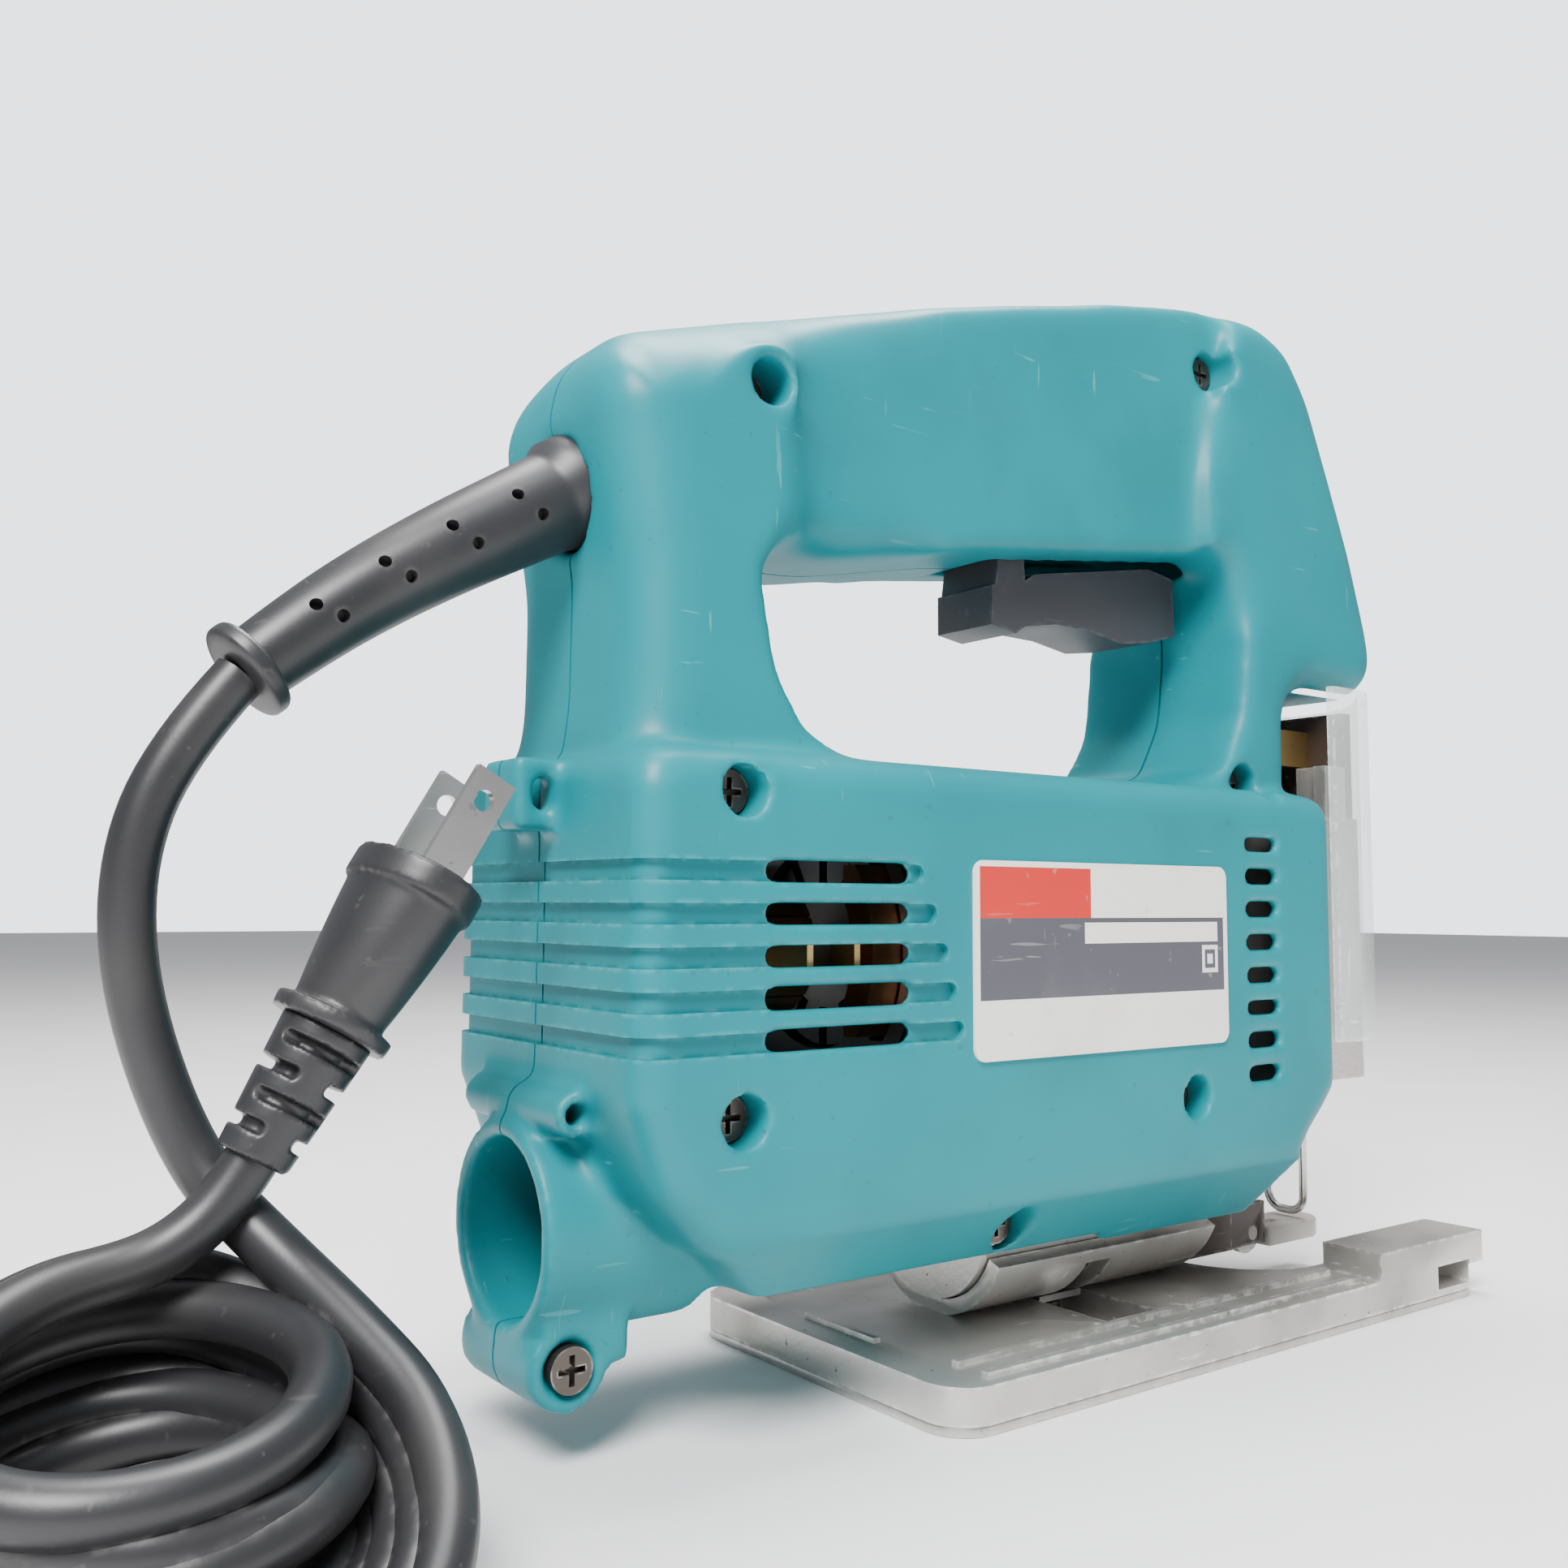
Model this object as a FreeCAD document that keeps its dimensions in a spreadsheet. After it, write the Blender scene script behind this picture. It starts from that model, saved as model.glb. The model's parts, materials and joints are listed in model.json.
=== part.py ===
import FreeCAD, Part
import math
import os
import re
from FreeCAD import Placement, Rotation, Vector

# A corded jigsaw with a closed D handle, standing on its base plate.
# X points forwards to the blade, Y to the user's left, Z up. The origin is under the
# middle of the tool, on the surface that the base plate stands on.

os.makedirs("parts", exist_ok=True)
doc = FreeCAD.newDocument("jigsaw")

# ---- driving dimensions, in millimetres ----
SIZES = {
    "base_length": 152.0, "base_width": 73.2, "base_rear": -46.5, "sole_thick": 1.6,
    "plate_top": 7.6, "corner_round": 7.5, "fork_half": 21.0, "fork_start": 48.0,
    "rim_width": 3.0, "rim_height": 0.9, "boss_length": 38.0, "boss_width": 13.0,
    "boss_top": 13.0, "fence_slot_width": 12.4, "fence_slot_height": 4.6,
    "bevel_height": 26.2, "shoe_radius": 16.0, "cradle_gap": 0.3, "cradle_thick": 2.7,
    "cradle_rear": -18.5, "cradle_front": 41.0, "cradle_half_angle": 66.0,
    "slot_half_angle": 57.0, "bolt_place": 8.5, "bolt_radius": 2.9, "bolt_head_radius": 4.6,
    "shell_half": 31.3, "shell_wall": 2.6, "skirt_bottom": 21.0, "skirt_half": 21.0,
    "skirt_inner": 19.8, "floor_height": 34.0, "body_top": 104.5, "grip_half": 17.6,
    "post_half": 22.8, "rear_face": -99.8, "shell_front": 65.0,
    "nozzle_height": 33.0, "nozzle_bore": 13.5, "nozzle_wall": 2.7, "nozzle_mouth": -105.5,
    "nozzle_depth": 30.0, "lug_height": 14.6, "lug_place": -99.4, "lug_radius": 6.4,
    "motor_height": 74.0, "shaft_radius": 4.0, "shaft_rear": -90.0, "shaft_front": 57.0,
    "core_radius": 17.0, "core_length": 40.0, "core_rear": -44.0, "air_gap": 0.6,
    "field_radius": 27.0, "field_length": 44.0, "commutator_radius": 11.0,
    "commutator_length": 16.0, "commutator_rear": -70.0, "fan_radius": 25.0,
    "fan_rear": 30.0, "fan_blades": 12, "bearing_outer": 9.5, "bearing_width": 7.0,
    "rear_bearing": -87.0, "front_bearing": 43.0, "running_gap": 0.04,
    "gear_module": 0.8, "pinion_teeth": 8, "gear_teeth": 44, "gear_rear": 58.0,
    "gear_width": 6.0, "pinion_rear": 57.0, "pinion_width": 8.5, "gear_pin_radius": 4.0,
    "crank_throw": 9.0, "crank_pin_radius": 3.0, "rod_place": 79.0, "rod_radius": 4.0,
    "rod_bottom": 38.0, "rod_length": 90.0, "yoke_width": 33.0, "yoke_gap": 0.3,
    "blade_gap": 1.6, "clamp_radius": 6.5, "clamp_height": 13.0,
    "cover_bottom": 54.0, "cover_top": 127.0, "cover_wall": 1.6, "cover_nose": 103.8,
    "cover_half": 30.6, "roller_radius": 4.6, "roller_width": 6.0,
    "roller_place": 70.3, "roller_height": 11.0, "guard_wire": 0.9, "guard_half": 4.6,
    "guard_bottom": 7.6, "guard_place": 89.05,
    "trigger_half": 7.6, "trigger_rear": -9.5, "trigger_front": 44.0, "lock_radius": 5.2,
    "lock_place": 20.0, "lock_height": 172.0, "trigger_pivot_height": 152.0,
    "cord_diameter": 7.2, "guard_exit_radius": 8.0, "guard_end_radius": 5.2,
    "hank_top": 46.5, "screw_head": 3.4, "screw_shank": 1.9, "screw_sink": 5.0,
}

sheet = doc.addObject("Spreadsheet::Sheet", "sizes")
for row, (alias, value) in enumerate(SIZES.items(), 1):
    sheet.set(f"A{row}", alias)
    sheet.set(f"B{row}", str(value))
    sheet.setAlias(f"B{row}", alias)
doc.recompute()

NODES = []
X_AXIS, Y_AXIS, Z_AXIS = Vector(1, 0, 0), Vector(0, 1, 0), Vector(0, 0, 1)
ALONG_X = Rotation(Y_AXIS, 90)
ALONG_Z = Rotation()


def cell(text):
    """Turns plain dimension names into references to the sheet."""
    def refer(found):
        word = found.group()
        return "sizes." + word if word in SIZES else word
    return re.sub(r"[a-z_]+", refer, str(text))


def size(alias):
    return float(sheet.get(alias))


def bind(obj, sizes, place=(0, 0, 0), turn=ALONG_Z):
    """Ties an object's sizes and its place to the sheet."""
    obj.Placement = Placement(Vector(0, 0, 0), turn)
    for name, text in sizes.items():
        obj.setExpression(name, cell(text))
    for letter, text in zip("xyz", place):
        obj.setExpression("Placement.Base." + letter, cell(text))
    return obj


def box(name, place, length, width, height):
    """A block that starts at place and is centred on Y there."""
    start = (place[0], f"({place[1]}) - ({width}) / 2", place[2])
    block = doc.addObject("Part::Box", name)
    return bind(block, {"Length": length, "Width": width, "Height": height}, start)


def rod(name, place, radius, height, turn=ALONG_Z):
    drum = doc.addObject("Part::Cylinder", name)
    return bind(drum, {"Radius": radius, "Height": height}, place, turn)


def fuse(name, *shapes):
    joined = doc.addObject("Part::MultiFuse", name)
    joined.Shapes = list(shapes)
    joined.Refine = True
    return joined


def cut(name, base, *tools):
    """Base less all the tools, one Part::Cut at the end."""
    tool = tools[0] if len(tools) == 1 else fuse(name + "_tools", *tools)
    result = doc.addObject("Part::Cut", name)
    result.Base = base
    result.Tool = tool
    result.Refine = True
    return result


def common(name, first, second):
    result = doc.addObject("Part::Common", name)
    result.Base = first
    result.Tool = second
    result.Refine = True
    return result


def extruded(name, sketch_points, start_y, width, plane="side"):
    """A closed outline given as points, drawn in a sketch and pushed along its normal."""
    sketch = doc.addObject("Sketcher::SketchObject", name + "_outline")
    count = len(sketch_points)
    for index in range(count):
        first = Vector(*sketch_points[index], 0)
        second = Vector(*sketch_points[(index + 1) % count], 0)
        sketch.addGeometry(Part.LineSegment(first, second))
    turn = {"side": Rotation(X_AXIS, 90), "front": Rotation(Vector(1, 1, 1), 120),
            "top": ALONG_Z}[plane]
    sketch.Placement = Placement(Vector(0, 0, 0), turn)
    normal = turn.multVec(Z_AXIS)
    letter = {"side": "y", "front": "x", "top": "z"}[plane]
    sketch.setExpression("Placement.Base." + letter, cell(start_y))
    solid = doc.addObject("Part::Extrusion", name)
    solid.Base = sketch
    solid.DirMode = "Custom"
    solid.Dir = normal
    solid.Solid = True
    solid.setExpression("LengthFwd", cell(width))
    return solid


def rounded(name, base, radius, wanted):
    """Fillets the edges of base that wanted picks, by a point in their middle."""
    doc.recompute()
    fillet = doc.addObject("Part::Fillet", name)
    fillet.Base = base
    edges = []
    for index, edge in enumerate(base.Shape.Edges, 1):
        middle = edge.valueAt((edge.FirstParameter + edge.LastParameter) / 2)
        if wanted(edge, middle):
            edges.append((index, radius, radius))
    fillet.Edges = edges
    doc.recompute()
    return fillet


def feature(name, shape):
    """A shape made with Part's own functions, held as an object of the document."""
    place = shape.Placement
    thing = doc.addObject("Part::Feature", name)
    thing.Shape = shape
    thing.Placement = place
    return thing


def node(label, thing):
    """Marks a document object as a sub-part of the tool."""
    thing.Label = label
    NODES.append(thing)
    return thing


# ---- base plate, sole and bevel cradle ----

def base_outline(name, start, height):
    block = box(name + "_block", ("base_rear", 0, start), "base_length", "base_width", height)

    def upright(edge, middle):
        return abs(edge.tangentAt(edge.FirstParameter).z) > 0.9
    return rounded(name, block, size("corner_round"), upright)


def fork(name, extra):
    reach = "base_rear + base_length - fork_start + 5"
    mouth = box(name + "_mouth", (f"fork_start + fork_half", 0, "-2"), reach,
                f"(fork_half - {extra}) * 2", 30)
    end = rod(name + "_end", ("fork_start + fork_half", 0, "-2"), f"fork_half - {extra}", 30)
    return fuse(name, mouth, end)


def bolt_window(name):
    return box(name, ("bolt_place - 6.5", 0, "-2"), 13, 48, 40)


def build_base():
    plate = base_outline("plate", "sole_thick", "plate_top - sole_thick")
    side = "base_width / 2 - boss_width / 2"
    bosses, rims, slots, dots = [], [], [], []
    for hand, sign in (("left", ""), ("right", "-")):
        boss = box("boss_" + hand, ("base_rear + base_length - boss_length",
                   f"{sign}({side})", "plate_top - 1"), "boss_length", "boss_width",
                   "boss_top - plate_top + 1")
        bosses.append(boss)
        for number, inset in enumerate((3.4, 10.2)):
            rims.append(box(f"rim_{hand}_{number}", ("base_rear + 9",
                        f"{sign}(base_width / 2 - {inset})", "plate_top - 1"),
                        "base_length - boss_length - 12", "rim_width / 2",
                        "rim_height + 1"))
        slots.append(box("fence_slot_" + hand, ("base_rear + base_length - 17.5",
                     f"{sign}({side})", "sole_thick + 1.4"), "fence_slot_width",
                     "boss_width + 20", "fence_slot_height"))
        for number in range(2):
            dots.append(box(f"dot_{hand}_{number}", (f"{-4 + number * 22}",
                        f"{sign}24.6", "plate_top - 3"), 4, 3.4, 6))
    rims.append(box("rim_rear", ("base_rear + 6", 0, "plate_top - 1"), "rim_width / 2",
                    "base_width - 54", "rim_height + 1"))
    cradle = rod("cradle_outer", ("cradle_rear", 0, "bevel_height"),
                 "shoe_radius + cradle_gap + cradle_thick", "cradle_front - cradle_rear",
                 ALONG_X)
    lid = extruded("cradle_lid", cradle_cover(size("cradle_half_angle")), "cradle_rear - 5",
                   "cradle_front - cradle_rear + 10", "front")
    cradle = cut("cradle_bowl", cradle, lid)
    below = box("below_plate", ("base_rear", 0, "-60"), "base_length", "base_width * 2",
                "60 + sole_thick")
    seat = rod("cradle_seat", ("cradle_rear - 1", 0, "bevel_height"),
               "shoe_radius + cradle_gap", "cradle_front - cradle_rear + 2", ALONG_X)
    window = bolt_window("plate_window")
    opened = cut("plate_opened", plate, window)
    whole = fuse("base_whole", opened, cradle, *bosses, *rims)
    slot = extruded("bolt_slot", cradle_wedge(size("slot_half_angle")),
                    "bolt_place - bolt_radius - 0.4", "bolt_radius * 2 + 0.8", "front")
    return cut("base_cut", whole, below, seat, fork("plate_fork", 0), slot, *slots, *dots)


def cradle_cover(angle):
    """The space above the two edges of the cradle, seen along X."""
    reach = 60
    height = size("bevel_height")
    edge_y = math.sin(math.radians(angle)) * reach
    edge_z = height - math.cos(math.radians(angle)) * reach
    return [(0, height), (edge_y, edge_z), (reach * 2, height), (0, height + reach * 2),
            (-reach * 2, height), (-edge_y, edge_z)]


def cradle_wedge(angle):
    """The slice of the cradle that the clamp bolt sweeps, seen along X."""
    reach = 30
    height = size("bevel_height")
    edge_y = math.sin(math.radians(angle)) * reach
    edge_z = height - math.cos(math.radians(angle)) * reach
    return [(0, height), (-edge_y, edge_z), (0, height - reach), (edge_y, edge_z)]


def build_sole():
    sheet_metal = base_outline("sole", "0", "sole_thick - 0.02")
    return cut("sole_cut", sheet_metal, fork("sole_fork", 0.4), bolt_window("sole_window"))


def build_shoe():
    """The rounded foot of the motor frame that the base tilts about."""
    drum = rod("shoe_drum", ("cradle_rear - 1.5", 0, "bevel_height"), "shoe_radius",
               "cradle_front - cradle_rear + 3", ALONG_X)
    neck = box("shoe_neck", ("cradle_rear - 1.5", 0, "bevel_height"),
               "cradle_front - cradle_rear + 3", "shoe_radius * 1.86",
               "floor_height - bevel_height")
    upper = box("shoe_upper", ("cradle_rear - 5", 0, "floor_height"), "90", "60", "60")
    thread = rod("shoe_thread", ("bolt_place", 0, "0"), "bolt_radius", "floor_height + 2")
    return cut("shoe_cut", fuse("shoe_body", drum, neck), upper, thread)


def build_clamp_bolt():
    """A socket-head bolt that holds the base, with its curved washer."""
    lowest = "bevel_height - shoe_radius - cradle_gap - cradle_thick"
    shank = rod("bolt_shank", ("bolt_place", 0, f"{lowest} - 2.4"), "bolt_radius - 0.05",
                "20")
    head = rod("bolt_head", ("bolt_place", 0, f"{lowest} - 5.4"), "bolt_head_radius", "4")
    socket = extruded("bolt_socket", hexagon(size("bolt_place"), 2.3), f"{lowest} - 6",
                      "3.2", "top")
    return cut("bolt_cut", fuse("bolt_body", shank, head), socket)


def hexagon(centre, radius):
    points = []
    for corner in range(6):
        turn = math.radians(60 * corner)
        points.append((centre + radius * math.cos(turn), radius * math.sin(turn)))
    return points


def build_clamp_washer():
    """A curved washer between the bolt's head and the underside of the cradle."""
    outer = "shoe_radius + cradle_gap + cradle_thick + 0.25"
    ring = rod("washer_ring", ("bolt_place - 5.6", 0, "bevel_height"), f"{outer} + 1.1",
               "11.2", ALONG_X)
    inner = rod("washer_inner", ("bolt_place - 6", 0, "bevel_height"), outer, "12", ALONG_X)
    keep = box("washer_keep", ("bolt_place - 6", 0, "0"), "12", "12.5", "bevel_height")
    hole = rod("washer_hole", ("bolt_place", 0, "0"), "bolt_radius - 0.05", "30")
    return cut("washer_cut", common("washer_part", ring, keep), inner, hole)


# ---- moulded housing ----

def shell_profile(wall):
    """The D-shaped side view, wall millimetres inside the outer skin."""
    rear = size("rear_face") + wall
    return [(rear, 53 + wall), (rear + 1.5, 90), (rear + 5.0, 112), (rear + 5.2, 132),
            (rear + 2.5, 148), (rear + 0.6, 158), (rear + 2.0, 165 - wall * 0.5),
            (rear + 7.5, 171.5 - wall), (-69.8, 178.8 - wall), (-52.2, 184.0 - wall),
            (-32, 190.0 - wall), (-10.4, 196.0 - wall), (15, 202.4 - wall),
            (40.9, 206.3 - wall), (58, 206.9 - wall), (68, 203.6 - wall * 1.4),
            (76 - wall, 193.6 - wall * 0.6), (83.6 - wall, 177.0), (90.6 - wall, 161),
            (96.4 - wall, 144), (100.2 - wall, 127.6 + wall * 0.2),
            (64.6, 127.6 + wall * 0.2), (64.6, 100 + wall), (35, 100)]


def opening_profile(wall):
    """The finger gap between the grip and the motor housing, wall outside the skin."""
    return [(-72.6 - wall, 134.0), (-69.6 - wall, 119.5), (-64.5 - wall, 110.0),
            (-55.5, 104.9 - wall), (30.5, 104.9 - wall), (41.0, 109.0 - wall),
            (47.4 + wall, 120.0), (49.4 + wall, 136.0), (48.0 + wall, 150.0),
            (42.0, 153.4 + wall), (-21.8, 145.0 + wall), (-52.0, 138.9 + wall),
            (-68.0, 139.2 + wall)]


def motor_profile(wall):
    """The lower housing's side view, above the tapered skirt."""
    rear = size("rear_face") + wall
    top = size("body_top") - wall
    return [(rear, 53 + wall), (rear + 0.3, top), (64.6, top), (64.6, 45),
            (60.4, 40.6), (55.6, 36.4), (51.0, 31.0 + wall), (-86, 31.0 + wall),
            (-95, 40 + wall)]


def prism(profile, half):
    """A solid from a side-view outline, as wide as half each side of Y 0."""
    points = [Vector(x, -half, z) for x, z in profile]
    face = Part.Face(Part.makePolygon(points + points[:1]))
    return face.extrude(Vector(0, 2 * half, 0))


def taper(profile, half, top_half):
    """A prism whose sides lean in towards its lower edge."""
    low = min(z for x, z in profile)
    high = max(z for x, z in profile)
    section = [Vector(0, -half, low), Vector(0, half, low), Vector(0, top_half, high),
               Vector(0, -top_half, high)]
    start = min(x for x, z in profile)
    end = max(x for x, z in profile)
    face = Part.Face(Part.makePolygon(section + section[:1]))
    face.translate(Vector(start, 0, 0))
    wedge = face.extrude(Vector(end - start, 0, 0))
    return wedge.common(prism(profile, top_half + 1))


def soften(solid, half, radius, wall):
    """Rounds the long edges where the outer skin's sides meet its rim."""
    edges = []
    for edge in solid.Edges:
        ends = [vertex.Point.y for vertex in edge.Vertexes]
        if ends and all(abs(abs(y) - half) < 0.05 for y in ends):
            edges.append(edge)
    return solid if wall else solid.makeFillet(radius, edges)


def skirt_profile(wall):
    low = size("skirt_bottom")
    high = 33.2 + wall * 1.5
    return [(-86 + wall, high), (-74 + wall, low + 1.6 + wall), (3, low + 1.6 + wall),
            (3, low + wall), (46 - wall, low + wall), (50 - wall, 30),
            (51.2 - wall, high)]


def housing_skin(wall):
    """The housing as one solid, wall millimetres inside its outer skin."""
    half = size("shell_half") - wall
    motor = soften(prism(motor_profile(wall), half), half, 5.2, wall)
    rim_half = size("post_half") - wall * 1.9
    frame = prism(shell_profile(wall), rim_half)
    frame = soften(frame, rim_half, 8.4, wall)
    gap = prism(opening_profile(wall), size("shell_half") + 5)
    gap = gap.makeFillet(3.5, [edge for edge in gap.Edges
                               if abs(edge.tangentAt(edge.FirstParameter).y) > 0.9])
    frame = frame.cut(gap).cut(grip_trim(wall))
    skirt = taper(skirt_profile(wall), size("skirt_half") - wall, half)
    body = frame.fuse([motor, skirt])
    return body.removeSplitter()


def grip_trim(wall):
    """What is taken off the grip's sides so that it is narrower than its two posts."""
    half = size("grip_half") - wall * 1.7
    outline = [(-60, 120), (38, 120), (38, 168), (52, 220), (-50, 220), (-66, 168)]
    trims = []
    for side in (1, -1):
        points = [Vector(x, side * half, z) for x, z in outline]
        face = Part.Face(Part.makePolygon(points + points[:1]))
        trims.append(face.extrude(Vector(0, side * 20, 0)))
    return Part.makeCompound(trims)


def vent_slots():
    """Five long slots at the rear and eight short ones at the front of each side."""
    slots = []
    depth = size("shell_half") + 10
    for number in range(5):
        height = 60.0 + number * 6.2
        slots.append(slot_prism(-78.2, -50.2, height, 3.0, depth))
    for number in range(8):
        height = 48.2 + number * 6.26
        slots.append(slot_prism(34.6, 44.8, height, 2.7, depth))
    return slots


def slot_prism(start, end, height, tall, depth):
    block = Part.makeBox(end - start, 2 * depth, tall, Vector(start, -depth, height))
    upright = [edge for edge in block.Edges
               if abs(edge.tangentAt(edge.FirstParameter).y) > 0.9]
    return block.makeFillet(tall * 0.32, upright)


SCREWS = [(-71.5, 164.0), (43.5, 192.6), (-82.0, 98.0), (46.2, 106.0), (-81.8, 50.4),
          (19.0, 46.6), (-23.7, 27.6)]


def screw_side(index):
    """How far out from Y 0 the housing's side lies at each screw."""
    if index == 0:
        return size("post_half") - 3.0
    if index == 1:
        return size("post_half") - 2.0
    if index == 3:
        return size("post_half") + 1.0
    if index == 6:
        return 27.0
    return size("shell_half")


def screw_wells():
    """Counterbores for the heads on the right and pilot bores through both shells."""
    wells = []
    for index, (x, z) in enumerate(SCREWS):
        side = screw_side(index)
        head = Part.makeCylinder(size("screw_head") + 0.5, 22.7 + size("screw_sink"),
                                 Vector(x, -side - 20, z), Y_AXIS)
        shank = Part.makeCylinder(size("screw_shank") + 0.02, side + 8,
                                  Vector(x, -side, z), Y_AXIS)
        wells += [head, shank]
    return wells


def screw_bosses():
    """Round pillars inside the housing that the screws pass through."""
    pillars = []
    for index, (x, z) in enumerate(SCREWS):
        side = screw_side(index) - 1.2
        pillars.append(Part.makeCylinder(4.6 + 0.6, 2 * side, Vector(x, -side, z), Y_AXIS))
    return pillars


def dust_duct(extra):
    """The suction nozzle's tube, from its mouth into the lower housing."""
    radius = size("nozzle_bore") + extra
    start = Vector(size("nozzle_mouth"), 0, size("nozzle_height"))
    return Part.makeCylinder(radius, size("nozzle_depth"), start, X_AXIS)


def nozzle_outside():
    """The nozzle's wall, its clamp lug and the small cross tube above it."""
    tube = dust_duct(size("nozzle_wall"))
    lug = Part.makeCylinder(size("lug_radius"), 25,
                            Vector(size("lug_place"), -12.5, size("lug_height")), Y_AXIS)
    web = Part.makeBox(14, 25, 12, Vector(size("lug_place") - 3.9, -12.5, 14))
    cross = Part.makeCylinder(3.4, 33, Vector(-100.8, -16.5, 51.2), Y_AXIS)
    return tube.fuse([lug, web, cross])


def wrench_clip():
    """The catch on the rear that a hexagon key is pushed into."""
    block = Part.makeBox(9, 12, 11, Vector(-106.6, -6, 92.5))
    throat = Part.makeBox(3.4, 14, 5.0, Vector(-103.6, -7, 95.6))
    bore = Part.makeCylinder(2.1, 30, Vector(-101.6, 0, 84), Z_AXIS)
    return block.cut(throat.fuse(bore))


def bay_cuts():
    """Spaces cut from the hollow housing for what is fitted into it."""
    channel = Part.makeBox(90, 2 * size("skirt_inner"), 30,
                           Vector(-25, -size("skirt_inner"), size("floor_height") - 30))
    outward = (Vector(*GUARD_ROUTE[1]) - Vector(*GUARD_ROUTE[0])).normalize()
    cable_hole = Part.makeCylinder(size("guard_exit_radius") + 0.6, 22,
                                   Vector(*GUARD_ROUTE[0]) + outward * 12, outward * -1)
    flange_room = Part.makeCylinder(size("guard_exit_radius") + 2.7, 3.4,
                                    Vector(*GUARD_ROUTE[0]) - outward * 4.6, outward * -1)
    rod_hole = Part.makeCylinder(size("rod_radius") + 2, 8,
                                 Vector(size("rod_place"), 0, size("cover_top") - 1), Z_AXIS)
    well = Part.makeBox(58, 16.4, 20, Vector(-11.5, -8.2, 138.0))
    pivot = Part.makeCylinder(1.52, 28.8, trigger_pivot() - Vector(0, 14.4, 0), Y_AXIS)
    height = size("motor_height")
    bay = Part.makeCylinder(size("field_radius") + 0.05, 102, Vector(-54, 0, height), X_AXIS)
    seat = Part.makeCylinder(size("bearing_outer"), size("bearing_width"),
                             Vector(size("rear_bearing"), 0, height), X_AXIS)
    way = Part.makeCylinder(size("shaft_radius") + 2.5, 30, Vector(-92, 0, height), X_AXIS)
    gear_room = Part.makeCylinder(19.3, 12, Vector(54, 0, gear_centre()), X_AXIS)
    return [channel, cable_hole, flange_room, rod_hole, well, pivot, bay, seat, way, gear_room]


def inner_ribs(outer):
    """Floor, stator ribs and rear bearing bridge moulded inside the housing."""
    floor = Part.makeBox(137, 60, 2.4, Vector(-86, -30, size("floor_height")))
    bridge = Part.makeBox(9, 60, 26, Vector(size("rear_bearing") - 1, -30, 61))
    ribs = [floor, bridge]
    for start in (-41.0, -12.0):
        ribs.append(Part.makeBox(2.4, 60, 66, Vector(start, -30, 36)))
    return [rib.common(outer) for rib in ribs]


def build_housing():
    """Both clamshells, cut from one hollow body along the middle plane."""
    outer = housing_skin(0)
    inner = housing_skin(size("shell_wall"))
    pillars = [pillar.common(outer) for pillar in screw_bosses()]
    wall = outer.cut(inner)
    body = wall.fuse(pillars + inner_ribs(outer) + [nozzle_outside(), wrench_clip()])
    for tool in bay_cuts() + [dust_duct(0), cross_bore()] + vent_slots() + screw_wells():
        body = body.cut(tool)
    halves = []
    for side in (-1, 1):
        keep = Part.makeBox(260, 60, 240, Vector(-130, 0 if side > 0 else -60, -5))
        half = body.common(keep)
        halves.append(biggest(half).removeSplitter())
    return halves


def cross_bore():
    tube = Part.makeCylinder(1.7, 60, Vector(-100.8, -30, 51.2), Y_AXIS)
    lug = Part.makeCylinder(size("screw_shank") + 0.02, 40,
                            Vector(size("lug_place"), -20, size("lug_height")), Y_AXIS)
    head = Part.makeCylinder(size("screw_head") + 0.6, 20,
                             Vector(size("lug_place"), -12.5 - 17.5, size("lug_height")),
                             Y_AXIS)
    return tube.fuse([lug, head])


def biggest(shape):
    return max(shape.Solids, key=lambda solid: solid.Volume)


# ---- screws ----

def screw(x, side, z, length):
    """A pan-head screw with a cross recess, its head towards -Y."""
    head = Part.makeCylinder(size("screw_head"), 2.6, Vector(x, -side, z), Y_AXIS)
    shank = Part.makeCylinder(size("screw_shank"), length, Vector(x, -side + 2.5, z), Y_AXIS)
    bars = [Part.makeBox(4.4, 1.6, 0.9, Vector(x - 2.2, -side, z - 0.45)),
            Part.makeBox(0.9, 1.6, 4.4, Vector(x - 0.45, -side, z - 2.2))]
    return head.fuse(shank).cut(bars[0].fuse(bars[1]))


def build_screws():
    bodies = []
    for index, (x, z) in enumerate(SCREWS):
        side = screw_side(index) - size("screw_sink")
        bodies.append(screw(x, side, z, 18))
    return Part.makeCompound(bodies)


# ---- motor ----

def build_shaft():
    """The armature's shaft, with its bearing seats at both ends."""
    length = "shaft_front - shaft_rear"
    return rod("shaft", ("shaft_rear", 0, "motor_height"), "shaft_radius", length, ALONG_X)


def tube(name, start, outer, inner, length, height="motor_height"):
    """A ring about the motor's axis or one beside it."""
    solid = rod(name + "_outer", (start, 0, height), outer, length, ALONG_X)
    hole = rod(name + "_hole", (f"{start} - 1", 0, height), inner, f"({length}) + 2", ALONG_X)
    return cut(name, solid, hole)


def slotted_ring(outer, inner, length, start, count, width, depth):
    """A ring about the motor's axis with slots all round its outside."""
    height = size("motor_height")
    ring = Part.makeCylinder(outer, length, Vector(start, 0, height), X_AXIS)
    ring = ring.cut(Part.makeCylinder(inner, length, Vector(start, 0, height), X_AXIS))
    cutter = Part.makeBox(length, width, depth + 2,
                          Vector(start, -width / 2, height + outer - depth))
    slots = []
    for number in range(count):
        one = cutter.copy()
        one.rotate(Vector(start, 0, height), X_AXIS, 360.0 / count * number)
        slots.append(one)
    return ring.cut(slots[0].fuse(slots[1:]))


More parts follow.
